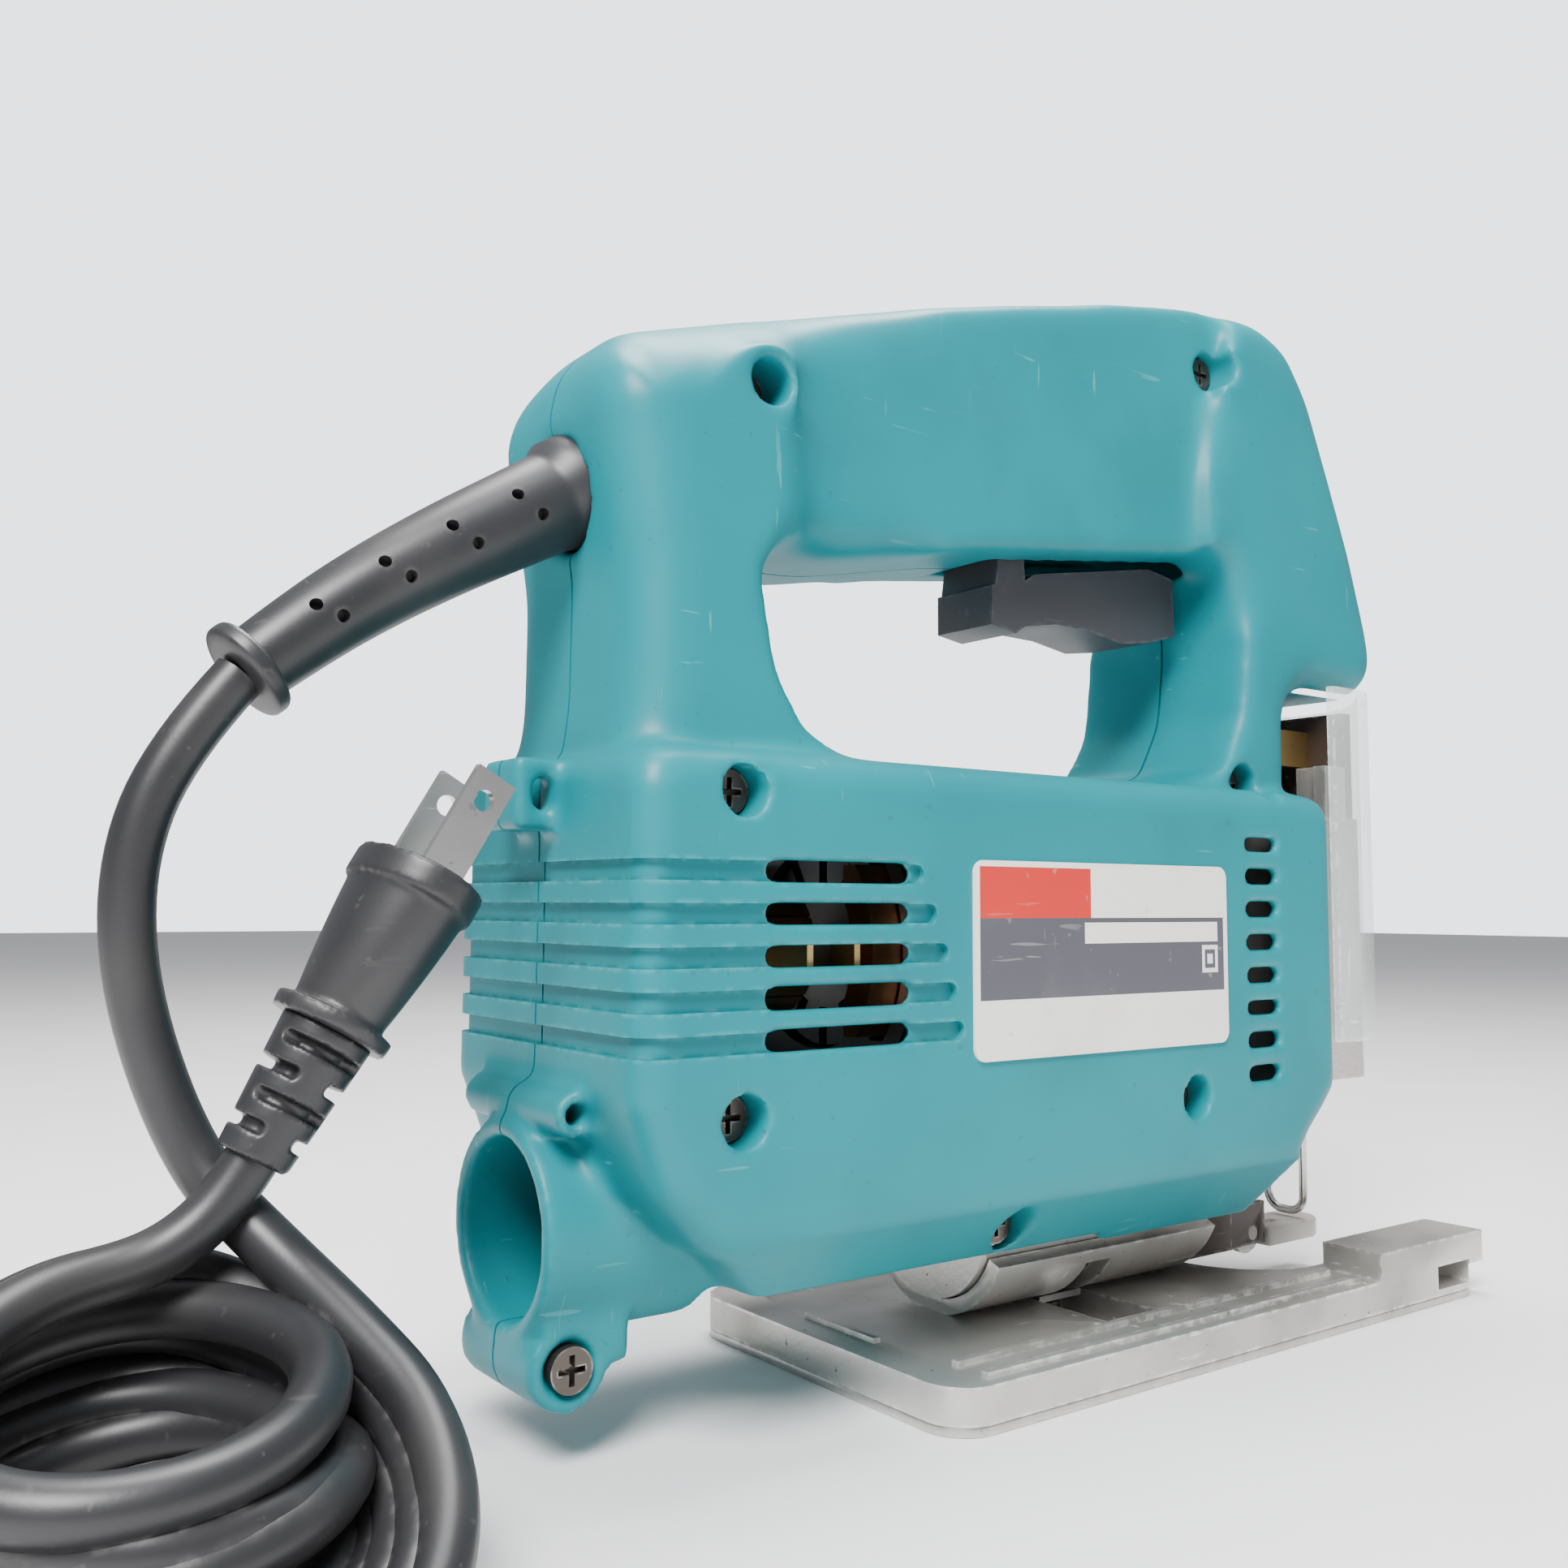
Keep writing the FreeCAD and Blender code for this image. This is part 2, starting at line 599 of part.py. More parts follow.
def build_fan():
    """A backplate with straight radial blades, moulded on a hub."""
    height = size("motor_height")
    start = size("fan_rear")
    plate = Part.makeCylinder(size("fan_radius"), 1.6, Vector(start, 0, height), X_AXIS)
    hub = Part.makeCylinder(8, 9, Vector(start, 0, height), X_AXIS)
    blade = Part.makeBox(8, 1.4, size("fan_radius") - 7.5, Vector(start + 1, -0.7, height + 7))
    blades = []
    count = int(size("fan_blades"))
    for number in range(count):
        one = blade.copy()
        one.rotate(Vector(start, 0, height), X_AXIS, 360.0 / count * number)
        blades.append(one)
    body = plate.fuse([hub] + blades)
    bore = Part.makeCylinder(size("shaft_radius"), 20, Vector(start - 5, 0, height), X_AXIS)
    rim = Part.makeCylinder(size("fan_radius"), 9, Vector(start, 0, height), X_AXIS)
    return body.cut(bore).common(rim)


def build_field_core():
    """The stator stack: a round yoke with two pole shoes about the armature."""
    inner = size("core_radius") + size("air_gap")
    outer = size("field_radius")
    height = size("motor_height")
    start = size("core_rear") - 2
    length = size("field_length")
    stack = Part.makeCylinder(outer, length, Vector(start, 0, height), X_AXIS)
    stack = stack.cut(Part.makeCylinder(inner, length, Vector(start, 0, height), X_AXIS))
    for side in (-1, 1):
        window = Part.makeBox(length, 10, 30, Vector(start, -5, height - 15))
        window.translate(Vector(0, side * (inner + 2.6), 0))
        keep = Part.makeCylinder(outer - 3.2, length, Vector(start, 0, height), X_AXIS)
        stack = stack.cut(window.common(keep))
    return stack


def build_field_coils():
    """Two wound coils, one each side, that stand a little past the stack."""
    inner = size("core_radius") + size("air_gap") + 0.3
    height = size("motor_height")
    start = size("core_rear") - 8
    length = size("field_length") + 12
    coils = []
    for side in (-1, 1):
        block = Part.makeBox(length, 9.0, 28, Vector(start, -4.5, height - 14))
        block.translate(Vector(0, side * (inner + 2.3), 0))
        ring = Part.makeCylinder(size("field_radius") - 3.6, length,
                                 Vector(start, 0, height), X_AXIS)
        hole = Part.makeCylinder(inner, length, Vector(start, 0, height), X_AXIS)
        coils.append(biggest(block.common(ring).cut(hole)))
    return Part.makeCompound(coils)


def build_brushes():
    """Two carbon blocks that press on the commutator from the sides."""
    reach = size("commutator_radius") + 0.05
    middle = size("commutator_rear") + size("commutator_length") / 2
    height = size("motor_height")
    drum = Part.makeCylinder(reach, 30, Vector(middle - 15, 0, height), X_AXIS)
    blocks = []
    for side in (-1, 1):
        start = 0 if side > 0 else -20
        block = Part.makeBox(8, 20, 5, Vector(middle - 4, start, height - 2.5))
        blocks.append(block.cut(drum))
    return Part.makeCompound(blocks)


def build_brush_holders():
    """Brass boxes that the carbon blocks slide in."""
    middle = size("commutator_rear") + size("commutator_length") / 2
    height = size("motor_height")
    boxes = []
    for side in (-1, 1):
        y = 12.5 if side > 0 else -12.5 - 13.5
        case = Part.makeBox(10.4, 13.5, 7.4, Vector(middle - 5.2, y, height - 3.7))
        hollow = Part.makeBox(8.1, 30, 5.1, Vector(middle - 4.05, y - 8, height - 2.55))
        boxes.append(case.cut(hollow))
    return Part.makeCompound(boxes)


def bearing(start):
    """A ball bearing about the motor's axis, as inner race, outer race and shield."""
    height = size("motor_height")
    width = size("bearing_width")
    ring = Part.makeCylinder(size("bearing_outer"), width, Vector(start, 0, height), X_AXIS)
    groove = Part.makeCylinder(size("bearing_outer") - 2, 0.6, Vector(start, 0, height), X_AXIS)
    core = Part.makeCylinder(size("shaft_radius") + 1.6, 0.6, Vector(start, 0, height), X_AXIS)
    bore = Part.makeCylinder(size("shaft_radius") + size("running_gap"), width,
                             Vector(start, 0, height), X_AXIS)
    return ring.cut(groove.cut(core)).cut(bore)


# ---- gears, crank and rod ----

def toothed_wheel(teeth, width, start, centre, phase):
    """A spur wheel with straight-flanked teeth, its axis along X."""
    module = size("gear_module")
    pitch = teeth * module / 2
    tip = pitch + module * 0.82
    root = pitch - module * 1.12
    step = 2 * math.pi / teeth
    points = []
    for number in range(teeth):
        middle = phase + number * step
        for radius, share in ((root, -0.40), (tip, -0.115), (tip, 0.115), (root, 0.40)):
            angle = middle + share * step
            points.append(Vector(start, centre[0] + radius * math.sin(angle),
                                 centre[1] + radius * math.cos(angle)))
    face = Part.Face(Part.makePolygon(points + points[:1]))
    return face.extrude(Vector(width, 0, 0))


def gear_centre():
    """The large gear sits straight above the pinion."""
    module = size("gear_module")
    distance = module * (size("gear_teeth") + size("pinion_teeth")) / 2
    return size("motor_height") + distance


def build_pinion():
    height = size("motor_height")
    wheel = toothed_wheel(int(size("pinion_teeth")), size("pinion_width"),
                          size("pinion_rear"), (0, height), 0)
    return wheel


def build_crank_gear():
    """The large gear with its hub, and the crank pin on its front face."""
    centre = gear_centre()
    teeth = int(size("gear_teeth"))
    start = size("gear_rear")
    half_step = math.pi / teeth if teeth % 2 == 0 else 0
    wheel = toothed_wheel(teeth, size("gear_width"), start, (0, centre), half_step)
    relief = Part.makeCylinder(13.5, 1.2, Vector(start, 0, centre), X_AXIS)
    hub = Part.makeCylinder(7.2, 1.2, Vector(start, 0, centre), X_AXIS)
    bore = Part.makeCylinder(size("gear_pin_radius") + size("running_gap"), 30,
                             Vector(start - 5, 0, centre), X_AXIS)
    front = start + size("gear_width")
    pin = Part.makeCylinder(size("crank_pin_radius"), 3.4,
                            Vector(front - 1, size("crank_throw"), centre), X_AXIS)
    return wheel.cut(relief.cut(hub)).cut(bore).fuse(pin)


def build_gear_pin():
    """The fixed pin that the large gear turns on."""
    start = size("gear_rear") - 6.5
    return Part.makeCylinder(size("gear_pin_radius"), 12.5, Vector(start, 0, gear_centre()),
                             X_AXIS)


def build_rod():
    """The tool's reciprocating rod with the cross slot that the crank pin works in."""
    centre = gear_centre()
    place = size("rod_place")
    shaft = Part.makeCylinder(size("rod_radius"), size("rod_length"),
                              Vector(place, 0, size("rod_bottom")), Z_AXIS)
    width = size("yoke_width")
    plate = Part.makeBox(8.4, width, 14, Vector(place - 12.2, -width / 2, centre - 7))
    slot_half = size("crank_pin_radius") + size("yoke_gap")
    slot = Part.makeBox(6.2, 26, 2 * slot_half, Vector(place - 13, -13, centre - slot_half))
    tang = Part.makeBox(20, size("blade_gap"), 12, Vector(place - 10, -size("blade_gap") / 2,
                                                       size("rod_bottom") - 0.01))
    return shaft.fuse(plate).cut(slot).cut(tang)


def build_blade_clamp():
    """The collar at the rod's foot that holds a blade's shank."""
    place = size("rod_place")
    bottom = size("rod_bottom")
    collar = Part.makeCylinder(size("clamp_radius"), size("clamp_height"),
                               Vector(place, 0, bottom - 1.5), Z_AXIS)
    bore = Part.makeCylinder(size("rod_radius"), 40, Vector(place, 0, bottom), Z_AXIS)
    slit = Part.makeBox(20, size("blade_gap"), 20,
                        Vector(place - 10, -size("blade_gap") / 2, bottom - 5))
    shape = collar.cut(bore)
    thread = Part.makeCylinder(2.0, 10, Vector(place + 3, 0, bottom + 5), X_AXIS)
    mouth = slit.common(Part.makeBox(20, 5, 5, Vector(place - 10, -2.5, bottom - 5)))
    return biggest(shape.cut(mouth)).cut(thread).cut(build_clamp_screw())


def build_clamp_screw():
    """The socket screw in the front of the blade clamp."""
    place = size("rod_place") + 4.05
    height = size("rod_bottom") + 5
    body = Part.makeCylinder(1.98, 4.0, Vector(place, 0, height), X_AXIS)
    head = Part.makeCylinder(3.0, 2.4, Vector(place + 1.8, 0, height), X_AXIS)
    socket = Part.makeCylinder(1.3, 3, Vector(place + 2.8, 0, height), X_AXIS)
    return head.fuse(body).cut(socket)


def build_guides():
    """Upper and lower plain bearings of the rod."""
    place = size("rod_place")
    guides = []
    for height in (61.0, 112.5):
        block = Part.makeBox(13, 22, 8, Vector(place - 6.5, -11, height))
        bore = Part.makeCylinder(size("rod_radius") + size("running_gap"), 20,
                                 Vector(place, 0, height - 5), Z_AXIS)
        guides.append(block.cut(bore))
    return Part.makeCompound(guides)


def build_gear_case():
    """The cast frame between motor and blade that carries gear pin and rod guides."""
    centre = gear_centre()
    height = size("motor_height")
    parts = [Part.makeBox(4, 54, 55.5, Vector(51.5, -27, 46)),
             Part.makeBox(4, 34, 24, Vector(51.5, -17, 100)),
             Part.makeCylinder(size("bearing_outer") + 2.6, 9.5, Vector(42, 0, height), X_AXIS),
             Part.makeBox(24.5, 53.6, 3.4, Vector(54.5, -26.8, 46)),
             Part.makeBox(8, 40, 3.4, Vector(77.5, -20, 46))]
    for side in (-1, 1):
        wide = Part.makeBox(24.5, 3.2, 54, Vector(54.5, -1.6 + side * 25.2, 46))
        narrow = Part.makeBox(7.5, 8.4, 66, Vector(78, -4.2 + side * 15.8, 46))
        web = Part.makeBox(5, 15.6, 54, Vector(74, -7.8 + side * 19.0, 46))
        parts += [wide, narrow, web]
    body = parts[0].fuse(parts[1:])
    seat = Part.makeCylinder(size("bearing_outer"), size("bearing_width"),
                             Vector(size("front_bearing"), 0, height), X_AXIS)
    way = Part.makeCylinder(6.4, 40, Vector(30, 0, height), X_AXIS)
    pin = Part.makeCylinder(size("gear_pin_radius"), 30, Vector(40, 0, centre), X_AXIS)
    rod_way = Part.makeCylinder(9.2, 30, Vector(size("rod_place"), 0, 40), Z_AXIS)
    mouth = Part.makeBox(30, 18.4, 12, Vector(size("rod_place"), -9.2, 44))
    yoke_way = Part.makeBox(20, 2 * 17.2, 50, Vector(60, -17.2, 70))
    tools = [seat, way, pin, rod_way, mouth, yoke_way]
    return body.cut(tools[0].fuse(tools[1:]))


def build_guide_plate():
    """The front plate that holds both rod guides to the gear case."""
    return Part.makeBox(2.6, 40, 66, Vector(size("rod_place") + 6.5, -20, 58))


# ---- blade end: roller, retainer, wire guard ----

def build_roller_holder():
    """The dark steel block under the housing's front end that carries the roller."""
    arm = Part.makeBox(19, 11.0, 12.0, Vector(43.0, -5.5, 8.6))
    stem = Part.makeBox(6, 11.0, 27.4, Vector(55.0, -5.5, 18.6))
    ears = Part.makeBox(13, 9.4, 8.8, Vector(61.5, -4.7, 8.6))
    body = arm.fuse([stem, ears])
    gap = Part.makeBox(14, size("roller_width") + 0.5, 14,
                       Vector(63.6, -size("roller_width") / 2 - 0.25, 4))
    bore = Part.makeCylinder(1.5, 20, Vector(size("roller_place"), -10, size("roller_height")),
                             Y_AXIS)
    return body.cut(gap).cut(bore)


def build_roller_pin():
    return Part.makeCylinder(1.5, 9.4, Vector(size("roller_place"), -4.7,
                                              size("roller_height")), Y_AXIS)


def build_roller():
    """The grooved roller that backs the blade."""
    width = size("roller_width")
    centre = Vector(size("roller_place"), -width / 2, size("roller_height"))
    wheel = Part.makeCylinder(size("roller_radius"), width, centre, Y_AXIS)
    middle = Vector(size("roller_place"), -0.9, size("roller_height"))
    groove = Part.makeCylinder(10, 1.8, middle, Y_AXIS)
    keep = Part.makeCylinder(size("roller_radius") - 1.1, 1.8, middle, Y_AXIS)
    bore = Part.makeCylinder(1.5 + size("running_gap"), 20, centre - Vector(0, 5, 0), Y_AXIS)
    return wheel.cut(groove.cut(keep)).cut(bore)


def build_retainer():
    """The pale moulded guide round the blade's path, held at the foot of the guard."""
    block = Part.makeBox(15.7, 10.6, 4.2, Vector(75.3, -5.3, 7.4))
    nose = Part.makeCylinder(5.3, 4.2, Vector(91.0, 0, 7.4), Z_AXIS)
    way = Part.makeBox(12, 2.6, 10, Vector(73, -1.3, 5))
    return block.fuse(nose).cut(way)


def build_wire_guard():
    """A bent wire hoop in front of the blade."""
    radius = size("guard_wire")
    place = size("guard_place")
    half = size("guard_half")
    low = size("guard_bottom") + 4.6 + radius
    top = 66.0
    bend = 3.6
    start = Vector(place, -half, top)
    down = Part.LineSegment(start, Vector(place, -half, low + bend))
    middle = math.sqrt(0.5) * bend
    first = Part.Arc(Vector(place, -half, low + bend),
                     Vector(place, -half + bend - middle, low + bend - middle),
                     Vector(place, -half + bend, low))
    flat = Part.LineSegment(Vector(place, -half + bend, low), Vector(place, half - bend, low))
    second = Part.Arc(Vector(place, half - bend, low),
                      Vector(place, half - bend + middle, low + bend - middle),
                      Vector(place, half, low + bend))
    up = Part.LineSegment(Vector(place, half, low + bend), Vector(place, half, top))
    wire = Part.Wire([piece.toShape() for piece in (down, first, flat, second, up)])
    section = Part.Wire(Part.Circle(start, Z_AXIS, radius).toShape())
    return wire.makePipeShell([section], True, False)


def cover_section(inset):
    """The clear cover seen from above: a U open towards the rear."""
    nose = size("cover_nose") - inset
    half = size("cover_half") - inset
    rear = size("shell_front") + 0.6
    rear = rear - 1 if inset else rear
    return [(rear, -half), (rear + 13, -half), (nose - 8.0, -half + 12.0),
            (nose, -half + 21), (nose, half - 21), (nose - 8.0, half - 12.0),
            (rear + 13, half), (rear, half)]


def build_cover():
    """The clear dust cover, a thin curved wall in front of the gear case."""
    low = size("cover_bottom")
    tall = size("cover_top") - low
    outer = plan_prism(cover_section(0), low, tall)
    inner = plan_prism(cover_section(size("cover_wall")), low - 1, tall + 2)
    return outer.cut(inner)


def plan_prism(outline, low, tall):
    points = [Vector(x, y, low) for x, y in outline]
    face = Part.Face(Part.makePolygon(points + points[:1]))
    return face.extrude(Vector(0, 0, tall))


# ---- handle: switch, trigger, lock button ----

def build_switch():
    """The switch block inside the grip, with its two terminal screws."""
    block = Part.makeBox(34, 11, 17, Vector(2, -5.5, 159.5))
    stem = Part.makeBox(6, 5, 4, Vector(8, -2.5, 156.4))
    return block.fuse(stem)


def build_trigger():
    """The finger lever, with a pivot barrel at its rear end."""
    half = size("trigger_half")
    rear = size("trigger_rear")
    front = size("trigger_front")
    profile = [(rear, 134.6), (rear + 6.5, 133.6), (rear + 9, 135.2), (8, 136.6),
               (17, 136.4), (27, 134.8), (36, 136.0), (front, 138.2), (front - 0.4, 150.4),
               (front - 8, 151.6), (2, 145.8), (rear + 9, 144.2), (rear + 8.2, 154.6),
               (rear + 2.8, 154.6), (rear + 1, 142.4), (rear, 142.2)]
    lever = prism(profile, half)
    bore = Part.makeCylinder(1.5 + size("running_gap"), 40, trigger_pivot() - Vector(0, 20, 0),
                             Y_AXIS)
    return lever.cut(bore)


def trigger_pivot():
    return Vector(size("trigger_rear") + 5.5, 0, size("trigger_pivot_height"))


def build_trigger_pin():
    return Part.makeCylinder(1.5, 2 * size("grip_half") - 6.4,
                             trigger_pivot() - Vector(0, size("grip_half") - 3.2, 0), Y_AXIS)


def lock_way():
    """The bore in the left shell that the lock-on button slides in."""
    return Part.makeCylinder(size("lock_radius") + 0.12, 30,
                             Vector(size("lock_place"), 4, size("lock_height")), Y_AXIS)


def build_lock_button():
    """The lock-on button on the left of the grip."""
    start = Vector(size("lock_place"), size("grip_half") - 6.5, size("lock_height"))
    body = Part.makeCylinder(size("lock_radius"), 10.4, start, Y_AXIS)
    stem = Part.makeCylinder(2.0, 2.0, start - Vector(0, 2.0, 0), Y_AXIS)
    circles = [edge for edge in body.Edges if edge.Curve.TypeId == "Part::GeomCircle"
               and edge.CenterOfMass.y > start.y + 10]
    return body.makeFillet(1.0, circles).fuse(stem)


# ---- label, cord, plug ----

def build_name_plate():
    """The thin rounded plate on the right side."""
    plate = Part.makeBox(65, 0.5, 32.6, Vector(-37.6, -size("shell_half") - 0.5, 56.2))
    corners = [edge for edge in plate.Edges
               if abs(edge.tangentAt(edge.FirstParameter).y) > 0.9]
    return plate.makeFillet(2.2, corners)


GUARD_ROUTE = [(-97.0, 0, 145.6), (-106.0, 0, 140.4), (-116.5, 0, 134.2),
               (-127.5, 0, 127.0), (-137.0, 0, 119.8), (-145.6, 0, 112.4)]


def build_cord_guard():
    """The tapered rubber sleeve at the cord's exit, with a collar on its end."""
    first = size("guard_exit_radius")
    last = size("guard_end_radius")
    count = len(GUARD_ROUTE)
    rings = []
    for index, point in enumerate(GUARD_ROUTE):
        before = Vector(*GUARD_ROUTE[max(index - 1, 0)])
        after = Vector(*GUARD_ROUTE[min(index + 1, count - 1)])
        share = index / (count - 1)
        radius = first + (last - first) * share
        circle = Part.Circle(Vector(*point), after - before, radius)
        rings.append(Part.Wire(circle.toShape()))
    sleeve = Part.makeLoft(rings, True)
    end = Vector(*GUARD_ROUTE[-1])
    along = (Vector(*GUARD_ROUTE[-1]) - Vector(*GUARD_ROUTE[-2])).normalize()
    collar = Part.makeCylinder(7.4, 3.0, end - along * 3.0, along)
    root_along = (Vector(*GUARD_ROUTE[0]) - Vector(*GUARD_ROUTE[1])).normalize()
    root = Part.makeCylinder(first, 7.0, Vector(*GUARD_ROUTE[0]), root_along)
    flange = Part.makeCylinder(first + 2.2, 2.4, Vector(*GUARD_ROUTE[0]) + root_along * 5.0,
                               root_along)
    return sleeve.fuse([collar, root, flange])


CORD_ROUTE = [GUARD_ROUTE[-1], (-154.2, 0.6, 101.4), (-159.0, 1.4, 86.2),
              (-157.6, 1.2, 68.2), (-149.6, -1.0, 46.5)]


def cord_path(points):
    """Straight runs joined by tangent arcs, as large as the runs allow."""
    corners = [Vector(*point) for point in points]
    pieces = []
    radii = []
    start = corners[0]
    for before, corner, after in zip(corners, corners[1:], corners[2:]):
        into = corner - before
        out = after - corner
        shorter = min(into.Length, out.Length)
        turn = into.getAngle(out)
        trim = 0.45 * shorter
        radii.append(trim / math.tan(turn / 2))
        first = corner - into.normalize() * trim
        last = corner + out.normalize() * trim
        half_way = (first + last) * 0.5
        inward = (half_way - corner).normalize()
        depth = (half_way - corner).Length - radii[-1] * (1 - math.cos(turn / 2))
        top = corner + inward * depth
        pieces.append(Part.LineSegment(start, first).toShape())
        pieces.append(Part.Arc(first, top, last).toShape())
        start = last
    pieces.append(Part.LineSegment(start, corners[-1]).toShape())
    print("cord bend radii, mm:", [round(radius, 1) for radius in radii])
    return Part.Wire(pieces)


def build_cord():
    path = cord_path(CORD_ROUTE)
    radius = size("cord_diameter") / 2
    direction = Vector(*CORD_ROUTE[1]) - Vector(*CORD_ROUTE[0])
    ring = Part.Wire(Part.Circle(Vector(*CORD_ROUTE[0]), direction, radius).toShape())
    solid = path.makePipeShell([ring], True, False)
    print("cord tube volume", round(solid.Volume), "mm3, section times length",
          round(math.pi * radius ** 2 * path.Length), "length", round(path.Length, 1))
    return solid.cut(build_cord_guard()).cut(build_hank())


HANK_CENTRE = (-159.0, -31.0)


def build_hank():
    """The outer shape of the cord's loose hank, which lies beside the nozzle."""
    top = size("hank_top")
    block = Part.makeBox(76, 56, top, Vector(-38, -28, 0))
    upright = [edge for edge in block.Edges
               if abs(edge.tangentAt(edge.FirstParameter).z) > 0.9]
    block = block.makeFillet(24, upright)
    block.rotate(Vector(0, 0, 0), Z_AXIS, -67)
    block.translate(Vector(HANK_CENTRE[0], HANK_CENTRE[1], 0))
    return block


PLUG_FOOT = Vector(-145.6, -9.5, 46.6)
PLUG_ALONG = Vector(31.4, 0, 53.0)


def plug_axis():
    direction = Vector(PLUG_ALONG)
    return direction.normalize()


def oval(distance, long_half, short_half):
    """A rounded section across the plug's axis, at a distance from its foot."""
    ellipse = Part.Ellipse(Vector(0, 0, 0), long_half, short_half).toShape()
    wire = Part.Wire(ellipse)
    wire.Placement = plug_frame(distance)
    return wire


def plug_frame(distance):
    """A frame on the plug's axis whose Z runs to the blades and whose X is along Y."""
    along = plug_axis()
    across = Vector(0, 1, 0)
    turn = Rotation(across, along.cross(across), along, "ZXY")
    return Placement(PLUG_FOOT + along * distance, turn)


def build_plug_lead():
    frame = plug_frame(-7.0)
    lead = Part.makeCylinder(size("cord_diameter") / 2, 7.0 + 2.0)
    lead.Placement = frame
    floor = Part.makeBox(80, 80, 40, Vector(-190, -50, size("hank_top") - 40))
    return lead.cut(floor)


def build_plug_relief():
    """The segmented strain relief behind the plug."""
    sleeve = Part.makeLoft([oval(2.0, 4.9, 4.9), oval(20.5, 6.4, 6.4)], True)
    cuts = []
    for number in range(4):
        turn = 0 if number % 2 == 0 else 90
        bar = Part.makeBox(18, 18, 1.6, Vector(-9, -9, 0))
        core = Part.makeCylinder(3.7, 1.6)
        bridge = Part.makeBox(18, 4.2, 1.6, Vector(-9, -2.1, 0))
        ring = bar.cut(core.fuse(bridge))
        ring.rotate(Vector(0, 0, 0), Z_AXIS, turn)
        ring.Placement = plug_frame(5.0 + number * 3.9).multiply(ring.Placement)
        cuts.append(ring)
    return sleeve.cut(cuts[0].fuse(cuts[1:])).cut(build_hank())


def build_plug_body():
    """The moulded grip of the plug between two flanges."""
    small = Part.makeLoft([oval(20.5, 8.2, 8.2), oval(22.8, 8.4, 8.4)], True)
    grip = Part.makeLoft([oval(22.8, 7.4, 6.2), oval(32, 9.6, 7.4), oval(41.0, 11.2, 8.2)],
                         True)
    flange = Part.makeLoft([oval(41.0, 12.2, 8.9), oval(45.2, 12.2, 8.9)], True)
    return small.fuse([grip, flange])


def build_plug_blades():
    blades = []
    for side in (-1, 1):
        blade = Part.makeBox(1.5, 6.3, 15.9, Vector(side * 6.35 - 0.75, -3.15, 45.2))
        hole = Part.makeCylinder(1.55, 20, Vector(side * 6.35 - 10, 0, 57.0), X_AXIS)
        blade = blade.cut(hole)
        blade.Placement = plug_frame(0).multiply(blade.Placement)
        blades.append(blade)
    return Part.makeCompound(blades)


# ---- the whole tool ----

def build_all():
    node("base_plate", build_base())
    node("base_sole", build_sole())
    node("bevel_shoe", build_shoe())
    node("base_bolt", build_clamp_bolt())
    node("bolt_washer", build_clamp_washer())
    right, left = build_housing()
    left = left.cut(lock_way())
    node("housing_right", feature("housing_right", right))
    node("housing_left", feature("housing_left", biggest(left)))
    node("housing_screws", feature("housing_screws", build_screws()))
    lug = screw(size("lug_place"), 12.9, size("lug_height"), 16)
    node("nozzle_screw", feature("nozzle_screw", lug))
    node("name_plate", feature("name_plate", build_name_plate()))
    node("armature_shaft", build_shaft())
    core = slotted_ring(size("core_radius"), size("shaft_radius"), size("core_length"),
                        size("core_rear"), 12, 2.2, 6.5)
    node("armature_core", feature("armature_core", core))
    bars = slotted_ring(size("commutator_radius"), size("shaft_radius"),
                        size("commutator_length"), size("commutator_rear"), 24, 0.5, 2.0)
    node("commutator", feature("commutator", bars))
    node("cooling_fan", feature("cooling_fan", build_fan()))
    node("field_core", feature("field_core", build_field_core()))
    node("field_coils", feature("field_coils", build_field_coils()))
    node("carbon_brushes", feature("carbon_brushes", build_brushes()))
    node("brush_holders", feature("brush_holders", build_brush_holders()))
    node("rear_bearing", feature("rear_bearing", bearing(size("rear_bearing"))))
    node("front_bearing", feature("front_bearing", bearing(size("front_bearing"))))
    node("drive_pinion", feature("drive_pinion", build_pinion()))
    node("crank_gear", feature("crank_gear", build_crank_gear()))
    node("gear_pin", feature("gear_pin", build_gear_pin()))
    node("gear_case", feature("gear_case", build_gear_case()))
    node("rod_guides", feature("rod_guides", build_guides()))
    node("guide_plate", feature("guide_plate", build_guide_plate()))
    node("saw_rod", feature("saw_rod", build_rod()))
    node("blade_clamp", feature("blade_clamp", build_blade_clamp()))
    node("clamp_screw", feature("clamp_screw", build_clamp_screw()))
    node("roller_holder", feature("roller_holder", build_roller_holder()))
    node("roller_pin", feature("roller_pin", build_roller_pin()))
    node("blade_roller", feature("blade_roller", build_roller()))
    node("roller_retainer", feature("roller_retainer", build_retainer()))
    node("wire_guard", feature("wire_guard", build_wire_guard()))
    node("dust_cover", feature("dust_cover", build_cover()))
    node("switch_body", feature("switch_body", build_switch()))
    node("trigger", feature("trigger", build_trigger()))
    node("trigger_pin", feature("trigger_pin", build_trigger_pin()))
    node("lock_button", feature("lock_button", build_lock_button()))
    node("cord_guard", feature("cord_guard", build_cord_guard()))
    node("power_cord", feature("power_cord", build_cord()))
    node("cord_hank", feature("cord_hank", build_hank()))
    node("plug_lead", feature("plug_lead", build_plug_lead()))
    node("plug_relief", feature("plug_relief", build_plug_relief()))
    node("plug_body", feature("plug_body", build_plug_body()))
    node("plug_blades", feature("plug_blades", build_plug_blades()))


